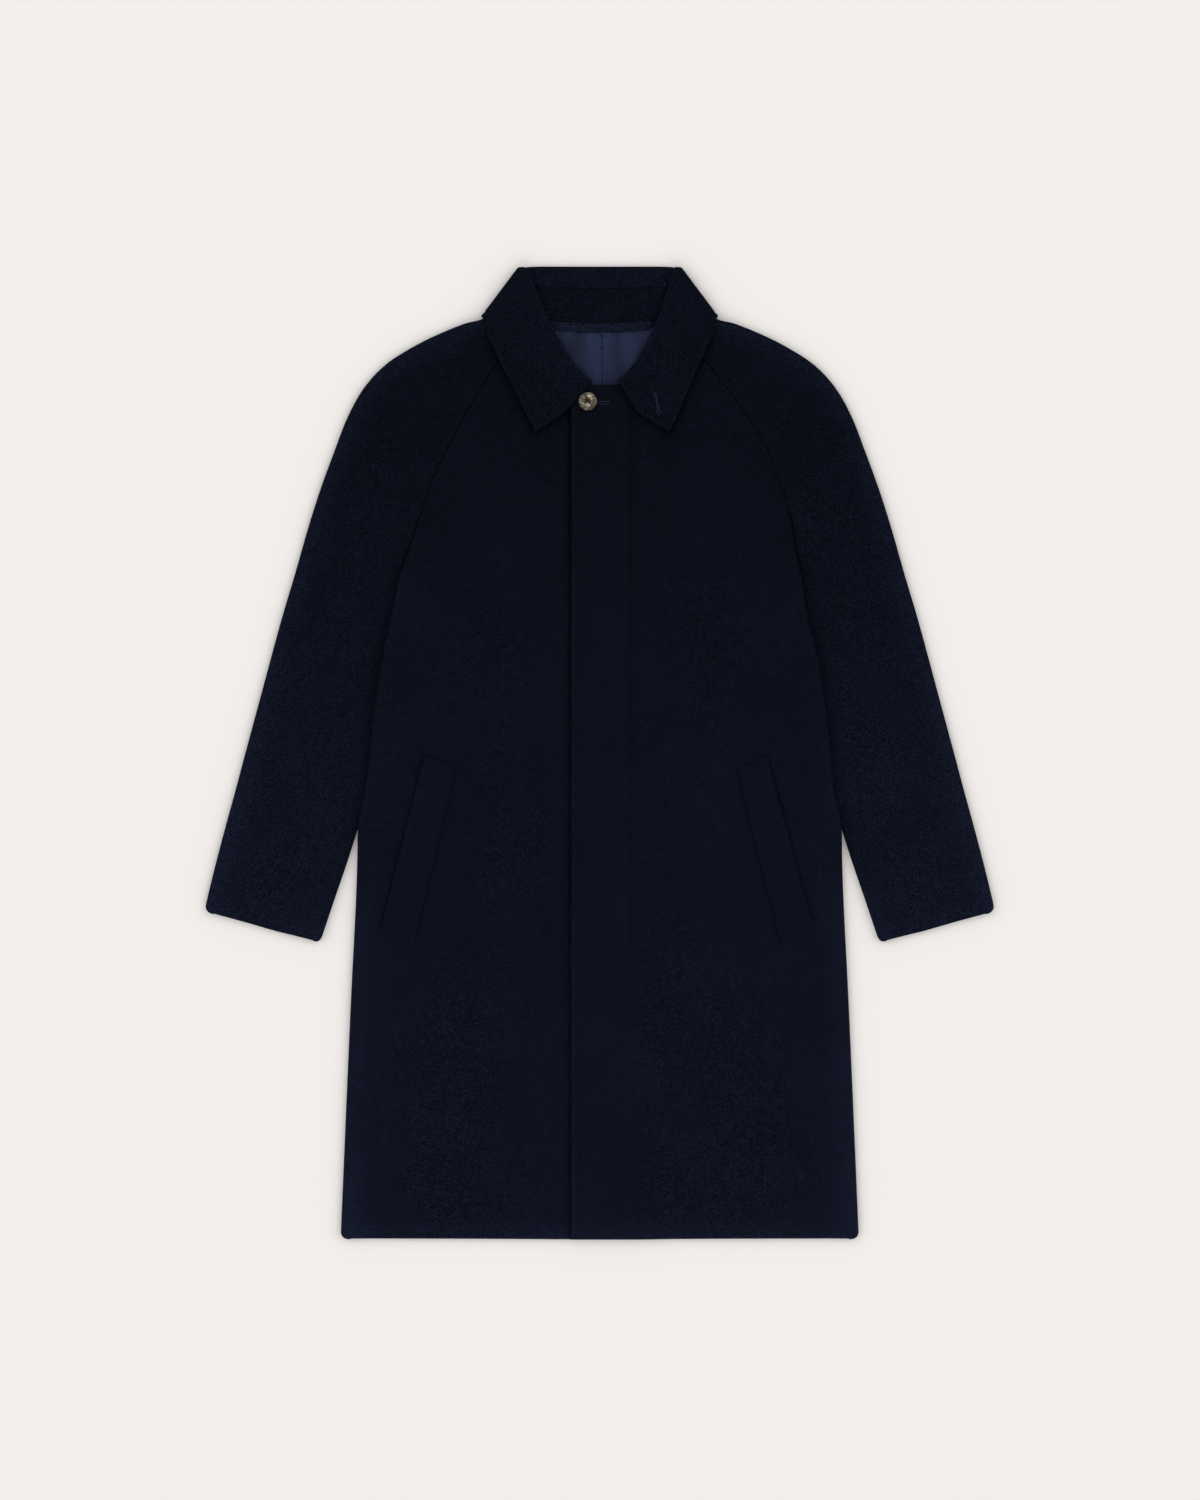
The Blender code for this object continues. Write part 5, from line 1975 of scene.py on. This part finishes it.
@dataclass(frozen=True)
class WoolCoating:
    """Wool overcoating: a herringbone twill under a short brushed nap, navy so dark that it is near black.

    It drinks light face on, so its specular level is low. A sheen pales the nap where the cloth turns away,
    and painted light and shade from the cloth's brightness attribute scale its colour.
    """

    name: str = "wool_coating"
    shade: str = "#04050A"
    yarn: str = "#1B2238"
    # Real twill lines lie about 1.2 mm apart, which the photo's pixels can't carry: drawn 2.5 times coarser
    twill_pitch: float = 3.0
    stripe_width: float = 13.0
    sheen: float = 0.03

    def build(self) -> Material:
        """Makes the material."""
        material, tree, shader = new_material(self.name)
        cloth = add_node(tree, "ShaderNodeUVMap", uv_map="cloth").outputs["UV"]
        place = add_node(tree, "ShaderNodeTexCoord").outputs["Object"]
        wobble = noise(tree, place, 60.0, 2.0, 0.5)
        parts = add_node(tree, "ShaderNodeSeparateXYZ", links={"Vector": cloth}).outputs
        bent = maths(tree, "ADD", parts["X"], maths(tree, "MULTIPLY", wobble, 0.004))
        zigzag = maths(tree, "PINGPONG", bent, self.stripe_width * MM)
        diagonal = maths(tree, "ADD", parts["Y"], zigzag)
        phase = maths(tree, "MULTIPLY", diagonal, math.tau / (self.twill_pitch * MM))
        twill = maths(tree, "MULTIPLY_ADD", maths(tree, "SINE", phase), 0.5)
        twill.node.inputs[2].default_value = 0.5
        nap = noise(tree, place, 640.0, 3.0, 0.7)
        fibre = noise(tree, place, 190.0, 2.0, 0.6)
        patches = noise(tree, place, 11.0, 2.0, 0.5)
        total = weighted(tree, (twill, 0.22), (nap, 0.9), (fibre, 0.16), (patches, 0.07))
        share = maths(tree, "MULTIPLY", maths(tree, "SUBTRACT", total, 0.625), 3.2, clamp=True)
        colour = blend(tree, share, self.shade, self.yarn)
        grained(tree, shader, weighted(tree, (twill, 0.5), (nap, 0.8)), 0.5, 0.0006)
        tree.links.new(toned(tree, colour), shader.inputs["Base Color"])
        set_shader(shader, Roughness=0.95, Specular_IOR_Level=0.04)
        set_shader(shader, Sheen_Weight=self.sheen, Sheen_Roughness=0.45, Sheen_Tint=linear("#8794C4"))
        return material


@dataclass(frozen=True)
class SatinLining:
    """Viscose satin lining, slate navy, with a painted sheen: paler streaks down its length stand in for the
    gleam of its close warp floats.
    """

    name: str = "satin_lining"
    shade: str = "#10162B"
    light: str = "#273254"

    def build(self) -> Material:
        """Makes the material."""
        material, tree, shader = new_material(self.name)
        cloth = add_node(tree, "ShaderNodeUVMap", uv_map="cloth").outputs["UV"]
        floats = noise(tree, scaled(tree, cloth, (900.0, 45.0, 1.0)), 1.0, 3.0, 0.6)
        # The broad streaks are a painted sheen; the fine floats are the weave
        streaks = noise(tree, scaled(tree, cloth, (60.0, 16.0, 1.0)), 1.0, 2.0)
        share = maths(tree, "SUBTRACT", weighted(tree, (floats, 0.5), (streaks, 1.1)), 0.3, clamp=True)
        colour = blend(tree, share, self.shade, self.light)
        grained(tree, shader, floats, 0.25, 0.0002)
        tree.links.new(toned(tree, colour), shader.inputs["Base Color"])
        set_shader(shader, Roughness=0.5, Specular_IOR_Level=0.12)
        return material


@dataclass(frozen=True)
class PolishedHorn:
    """Polished horn: cream and honey clouds with brown and grey streaks, smooth enough to shine softly."""

    name: str = "polished_horn"
    cream: str = "#F4E6C6"
    honey: str = "#634A2F"
    brown: str = "#22170E"
    grey: str = "#4A4940"
    rim: str = "#35322A"
    rim_share: float = 0.78
    rim_band: tuple[float, float] = (5.4, 7.4)

    def rim_place(self, tree: Tree, place: Socket) -> Socket:
        """How far out on the button a place is, from 0 in the dish to the rim's share at the edge.

        Args:
            tree: Tree of the material.
            place: Object coordinates.

        Returns:
            The share's socket.
        """
        x, drop = BUTTON_PLACE
        centre = (x * MM, (MIDDLE_DROP - drop) * MM, 0.0)
        add = partial(add_node, tree)
        flat = {1: (1.0, 1.0, 0.0)}
        plan = add("ShaderNodeVectorMath", operation="MULTIPLY", values=flat, links={0: place})
        links = {0: plan.outputs["Vector"]}
        away = add("ShaderNodeVectorMath", operation="DISTANCE", values={1: centre}, links=links)
        start, full = (radius * MM for radius in self.rim_band)
        values = {"From Min": start, "From Max": full, "To Min": 0.0, "To Max": self.rim_share}
        links = {"Value": away.outputs["Value"]}
        band = add("ShaderNodeMapRange", interpolation_type="SMOOTHSTEP", values=values, links=links)
        return band.outputs["Result"]

    def build(self) -> Material:
        """Makes the material."""
        material, tree, shader = new_material(self.name)
        place = add_node(tree, "ShaderNodeTexCoord").outputs["Object"]
        swirl = noise(tree, place, 150.0, 4.0, 0.6, 1.2)
        clouds = add_node(tree, "ShaderNodeValToRGB", links={"Fac": swirl})
        stops = clouds.color_ramp.elements
        stops[0].position, stops[0].color = 0.44, linear(self.brown)
        stops[1].position, stops[1].color = 0.62, linear(self.cream)
        stops.new(0.52).color = linear(self.honey)
        streaks = noise(tree, place, 260.0, 3.0, 0.7)
        share = maths(tree, "MULTIPLY", maths(tree, "SUBTRACT", streaks, 0.46, clamp=True), 5.0, clamp=True)
        colour = blend(tree, share, clouds.outputs["Color"], self.grey)
        ringed_colour = blend(tree, self.rim_place(tree, place), colour, self.rim)
        tree.links.new(ringed_colour, shader.inputs["Base Color"])
        gloss = maths(tree, "MULTIPLY_ADD", swirl, 0.15)
        gloss.node.inputs[2].default_value = 0.24
        tree.links.new(gloss, shader.inputs["Roughness"])
        set_shader(shader, Specular_IOR_Level=0.5)
        return material


@dataclass(frozen=True)
class SewingThread:
    """Spun polyester sewing thread: fine twisted plies with a dull gleam."""

    name: str
    shade: str
    light: str

    def build(self) -> Material:
        """Makes the material."""
        material, tree, shader = new_material(self.name)
        place = add_node(tree, "ShaderNodeTexCoord").outputs["Object"]
        twist = {"Scale": 700.0, "Distortion": 1.5, "Detail": 1.0}
        wave = add_node(tree, "ShaderNodeTexWave", twist, {"Vector": place}, bands_direction="DIAGONAL")
        plies = wave.outputs["Fac"]
        colour = blend(tree, plies, self.shade, self.light)
        grained(tree, shader, plies, 0.4, 0.0001)
        tree.links.new(colour, shader.inputs["Base Color"])
        set_shader(shader, Roughness=0.75, Specular_IOR_Level=0.2)
        return material


@dataclass(frozen=True)
class PaperSweep:
    """Matt studio paper, a warm near white."""

    name: str = "paper_sweep"
    shade: str = "#F5F2F0"

    def build(self) -> Material:
        """Makes the material."""
        material, tree, shader = new_material(self.name)
        place = add_node(tree, "ShaderNodeTexCoord").outputs["Object"]
        fibres = noise(tree, place, 300.0, 2.0)
        grained(tree, shader, fibres, 0.05, 0.0002)
        set_shader(shader, Base_Color=linear(self.shade), Roughness=0.95, Specular_IOR_Level=0.1)
        return material


@dataclass
class Studio:
    """Floor, soft light and the camera straight above the coat."""

    camera_height: float = 4.0
    frame_long_side: float = 1.65
    frame_centre: tuple[float, float] = (0.0003, 0.0034)
    coat_height: float = 0.008
    sky: float = 0.645
    strength: float = 0.57
    breadth: float = 50.0
    floor_half: float = 6.0
    sensor: float = 36.0

    def floor(self, material: Material) -> None:
        """Adds the floor, which isn't part of the coat."""
        mesh = bpy.data.meshes.new("floor")
        half = self.floor_half
        corners = [(-half, -half, 0.0), (half, -half, 0.0), (half, half, 0.0), (-half, half, 0.0)]
        mesh.from_pydata(corners, [], [(0, 1, 2, 3)])
        mesh.materials.append(material)
        thing = linked("floor", mesh)

    def camera(self) -> None:
        """Adds the camera, whose picture takes in what the photo does."""
        data = bpy.data.cameras.new("camera")
        data.sensor_width = self.sensor
        data.lens = self.sensor * (self.camera_height - self.coat_height) / self.frame_long_side
        data.clip_start, data.clip_end = 0.05, 50.0
        camera = linked("camera", data)
        camera.location = (*self.frame_centre, self.camera_height)
        bpy.context.scene.camera = camera

    def soft_light(self, name: str, place: tuple[float, float, float], strength: float) -> None:
        """Adds one broad light from a side, as even as a light tent's wall."""
        data = bpy.data.lights.new(name, "SUN")
        data.angle = math.radians(self.breadth)
        data.energy = strength
        light = linked(name, data)
        light.location = place
        light.rotation_euler = (-Vector(place)).to_track_quat("-Z", "Y").to_euler()

    def lights(self) -> None:
        """Adds the light tent: an even pale world and broad lights from both sides and the hem."""
        world = bpy.data.worlds.new("studio")
        world.use_nodes = True
        background = world.node_tree.nodes["Background"]
        background.inputs["Color"].default_value = linear("#FFFDFB")
        background.inputs["Strength"].default_value = self.sky
        bpy.context.scene.world = world
        self.soft_light("light_left", (-2.0, 0.6, 1.7), self.strength)
        self.soft_light("light_right", (2.0, 0.6, 1.7), self.strength)
        self.soft_light("light_hem", (0.0, -2.0, 1.5), self.strength)

    def build(self) -> None:
        """Builds the whole studio."""
        self.floor(PaperSweep().build())
        self.lights()
        self.camera()
        bpy.context.scene.view_settings.view_transform = "Standard"


def sewn_runs(pieces: dict[str, Piece]) -> list[StitchRun]:
    """Stitch runs of the coat, each along the pieces that it is sewn through."""
    left, collar = pieces["front_left_cloth"], pieces["collar_cloth"]
    middle_row = left.made.points.shape[0] // 2
    drop = left.made.points[:, -1, 1]
    x = left.made.points[middle_row, :, 0]
    lap_rows = drop > 152.0
    fly_rows = (drop > FLY_STITCH_DROPS[0]) & (drop < FLY_STITCH_DROPS[1])
    lap = stitch_column(left, x - LAP_EDGE, LAP_STITCH, lap_rows, SUNK)
    fly = stitch_column(left, x - FLY_STITCH_X, 0.0, fly_rows, SUNK)
    runs = [StitchRun("lap_topstitch", [lap]), StitchRun("fly_stitch", [fly])]

    to_front = collar.to_front
    ring_middle = len(to_front) // 2
    inside = to_front > TOPSTITCH - 0.2
    edge = stitch_column(collar, collar.to_edge[ring_middle], TOPSTITCH, inside, SUNK)
    column = int(np.argmin(np.abs(collar.to_edge[ring_middle] - TOPSTITCH)))
    first_fall = collar.roll_columns + collar.rim_columns + 2
    outer = collar.made.outer(SUNK)
    fronts = []
    for half in (slice(0, ring_middle), slice(ring_middle, len(to_front))):
        row = half.start + int(np.argmin(np.abs(to_front[half] - TOPSTITCH)))
        fronts.append(outer[row, first_fall : column + 1])
    runs.append(StitchRun("collar_topstitch", [edge, *fronts]))

    welt_lines = []
    for name in ("welt_right_cloth", "welt_left_cloth"):
        welt = pieces[name]
        outer = welt.made.outer(SUNK)
        welt_lines.extend(outer[row] for row in welt.stitch_rows())
    runs.append(StitchRun("welt_topstitch", welt_lines))
    return runs


def stadium(start: Sequence[float], end: Sequence[float], half_width: float, eye: float) -> list[tuple]:
    """Outline of a buttonhole in plan, with a round eye at its end.

    Args:
        start: Plan place of the plain end.
        end: Plan place of the eye.
        half_width: Half the distance between its two sides.
        eye: Radius of the eye.

    Returns:
        Plan places round the buttonhole, from the plain end, round the eye and back.
    """
    run = np.subtract(end, start) / math.dist(start, end)
    side = np.array([-run[1], run[0]])
    places = [np.array(start) + side * half_width]
    turn = math.asin(min(half_width / eye, 1.0))
    for step in range(17):
        angle = turn + (math.tau - 2.0 * turn) * step / 16.0
        places.append(np.array(end) - run * math.cos(angle) * eye + side * math.sin(angle) * eye)
    places.append(np.array(start) - side * half_width)
    return [tuple(place) for place in places]


def densely(places: Sequence[Sequence[float]], step: float) -> list[tuple[float, float]]:
    """Plan places put between those of a polyline, no further apart than a step."""
    close = []
    for first, second in zip(places[:-1], places[1:]):
        count = max(1, math.ceil(math.dist(first, second) / step))
        close.extend(between(first, second, share / count) for share in range(count))
    return [*close, tuple(places[-1])]


def hand_runs(pieces: dict[str, Piece]) -> tuple[list[StitchRun], list[StitchRun]]:
    """Buttonholes and small hand stitches: those in the coat's thread, and the paler buttonhole beads."""
    left, collar = pieces["front_left_cloth"], pieces["collar_cloth"]
    lining = pieces["back_lining_cloth"]
    front_hole = densely(stadium((10.5, 150.7), (-10.0, 150.7), 1.5, 1.8), 1.0)
    lapel_hole = densely(stadium((61.0, 141.0), (65.2, 161.5), 0.9, 2.1), 1.0)
    lapel_bar = densely([(58.0, 140.6), (62.2, 139.6)], 0.5)
    bead = {"pitch": 0.5, "length": 0.75, "radius": 0.26, "kind": StitchKind.ACROSS}
    lapel = [plan_line(collar, line, 0.1) for line in (lapel_hole, lapel_bar)]
    beads = [
        StitchRun("front_buttonhole", [plan_line(left, front_hole, 0.1)], **bead),
        StitchRun("lapel_buttonhole", lapel, **bead),
    ]
    marks = []
    for x in (1.0, 4.0, 7.0):
        marks.append(plan_line(left, densely([(x, 133.5), (x + 2.2, 137.2)], 0.5), 0.05))
    tacks = []
    for drop in (71.5, 89.5):
        tacks.append(plan_line(lining, densely([(0.6, drop + 1.6), (4.4, drop - 1.6)], 0.5), 0.1))
    tacks.append(plan_line(lining, densely([(0.6, 75.5), (4.4, 78.5)], 0.5), 0.1))
    dark = [
        StitchRun("front_edge_stitches", marks, pitch=2.0, length=1.8, radius=0.3),
        StitchRun("pleat_tacks", tacks, pitch=0.6, length=1.2, radius=0.25, kind=StitchKind.ACROSS),
    ]
    return dark, beads


@dataclass
class SeamAllowance(Piece):
    """Pressed seam allowance under a raglan seam, which closes it from below.

    At the underarm it narrows, and leans from the body's fold down to the sleeve's where the two part.
    """

    side: Side = Side.RIGHT
    half_width: float = 6.0
    half_folded: float = 1.3
    half_parted: float = 2.0
    parted_rise: float = 2.2
    end: tuple[float, float] = (223.3, 361.0)
    last_place: float = 11.6
    sections: int = 170
    below_front: float = 2.0
    thickness: float = 0.6

    def shell(self) -> Shell:
        """Shell of the allowance."""
        sign = self.side.value
        line = [*seam_line(self.side), (sign * self.end[0], self.end[1])]
        toward_sleeve = np.linspace(-1.0, 1.0, 7)
        rows = []
        for place in np.linspace(0.5, self.last_place, self.sections):
            turn, parted = seam_turn(place), seam_ride(place)
            folded = self.half_folded + (self.half_parted - self.half_folded) * parted
            half = self.half_width * (1.0 - turn) + folded * turn
            plan = np.array([seam_place(line, place, sign * half * share) for share in toward_sleeve])
            flat = LAYERS.front(plan[:, 0], plan[:, 1]) - self.below_front
            leaning = (TOP + BOTTOM) / 2.0 + self.parted_rise * parted * (1.0 - toward_sleeve)
            rows.append(np.stack([plan[:, 0], plan[:, 1], flat * (1.0 - turn) + leaning * turn], axis=1))
        return thin_shell(np.array(rows), self.thickness)


def coat_pieces() -> list[Piece]:
    """Every piece of cloth, in the order that they lie in, from the floor up."""
    pieces: list[Piece] = [
        BackPanel("back_cloth", ("back",), ("floor", "collar")),
        NeckLining("back_lining_cloth", ("back_lining",), ("back",), Slot.LINING),
        NeckFacing("neck_facing", (), ("back_lining", "back")),
    ]
    for side, word in ((Side.RIGHT, "right"), (Side.LEFT, "left")):
        back, front = f"sleeve_back_{word}", f"sleeve_front_{word}"
        pieces.append(SleeveHalf(f"{back}_cloth", (back,), ("floor",), side=side, is_front=False))
        pieces.append(SleeveHalf(f"{front}_cloth", (front,), (back,), side=side))
        pieces.append(SeamAllowance(f"seam_allowance_{word}", (), (front,), side=side))
    right = {"side": Side.RIGHT, "uppers": RIGHT_FRONT}
    left = {"side": Side.LEFT, "uppers": LEFT_FRONT, "level": LAYERS.lapped, "inner_x": LAP_EDGE}
    right["rests_on"] = ("back", "sleeve_front_right")
    left["rests_on"] = ("front_right", "sleeve_front_left")
    pieces.append(FrontPanel("front_right_cloth", ("front_right",), **right))
    pieces.append(FrontPanel("front_left_cloth", ("front_left",), columns=50, **left))
    pieces.append(CollarStand("collar_stand_cloth", ("collar_stand",), ("front_right", "front_left")))
    pieces.append(Collar("collar_cloth", ("collar",), ("front_right", "front_left", "floor")))
    right = {"side": Side.RIGHT, "corners": RIGHT_WELT}
    pieces.append(Welt("welt_right_cloth", ("pocket_welt_right",), ("front_right",), **right))
    left = {"side": Side.LEFT, "corners": LEFT_WELT, "level": LAYERS.lapped}
    pieces.append(Welt("welt_left_cloth", ("pocket_welt_left",), ("front_left",), **left))
    return pieces


def main() -> None:
    """Builds the coat's looks, its sewing and the studio."""
    finishes = {Slot.WOOL: WoolCoating().build(), Slot.LINING: SatinLining().build()}
    horn = PolishedHorn().build()
    navy = SewingThread("navy_thread", "#06070D", "#0D101B").build()
    bead = SewingThread("buttonhole_thread", "#1D2238", "#323955").build()
    brown = SewingThread("button_thread", "#120C08", "#2A1C12").build()

    studio = Studio()
    studio.build()
    pieces = {}
    for piece in coat_pieces():
        piece.build(finishes[piece.slot])
        pieces[piece.name] = piece

    button = TopButton()
    button.build(horn)
    ButtonThread().build(button, brown)

    tree = stitch_tree()
    dark, beads = hand_runs(pieces)
    for run in [*sewn_runs(pieces), *dark]:
        run.build(tree, navy)
    for run in beads:
        run.build(tree, bead)


if __name__ == "__main__":
    main()
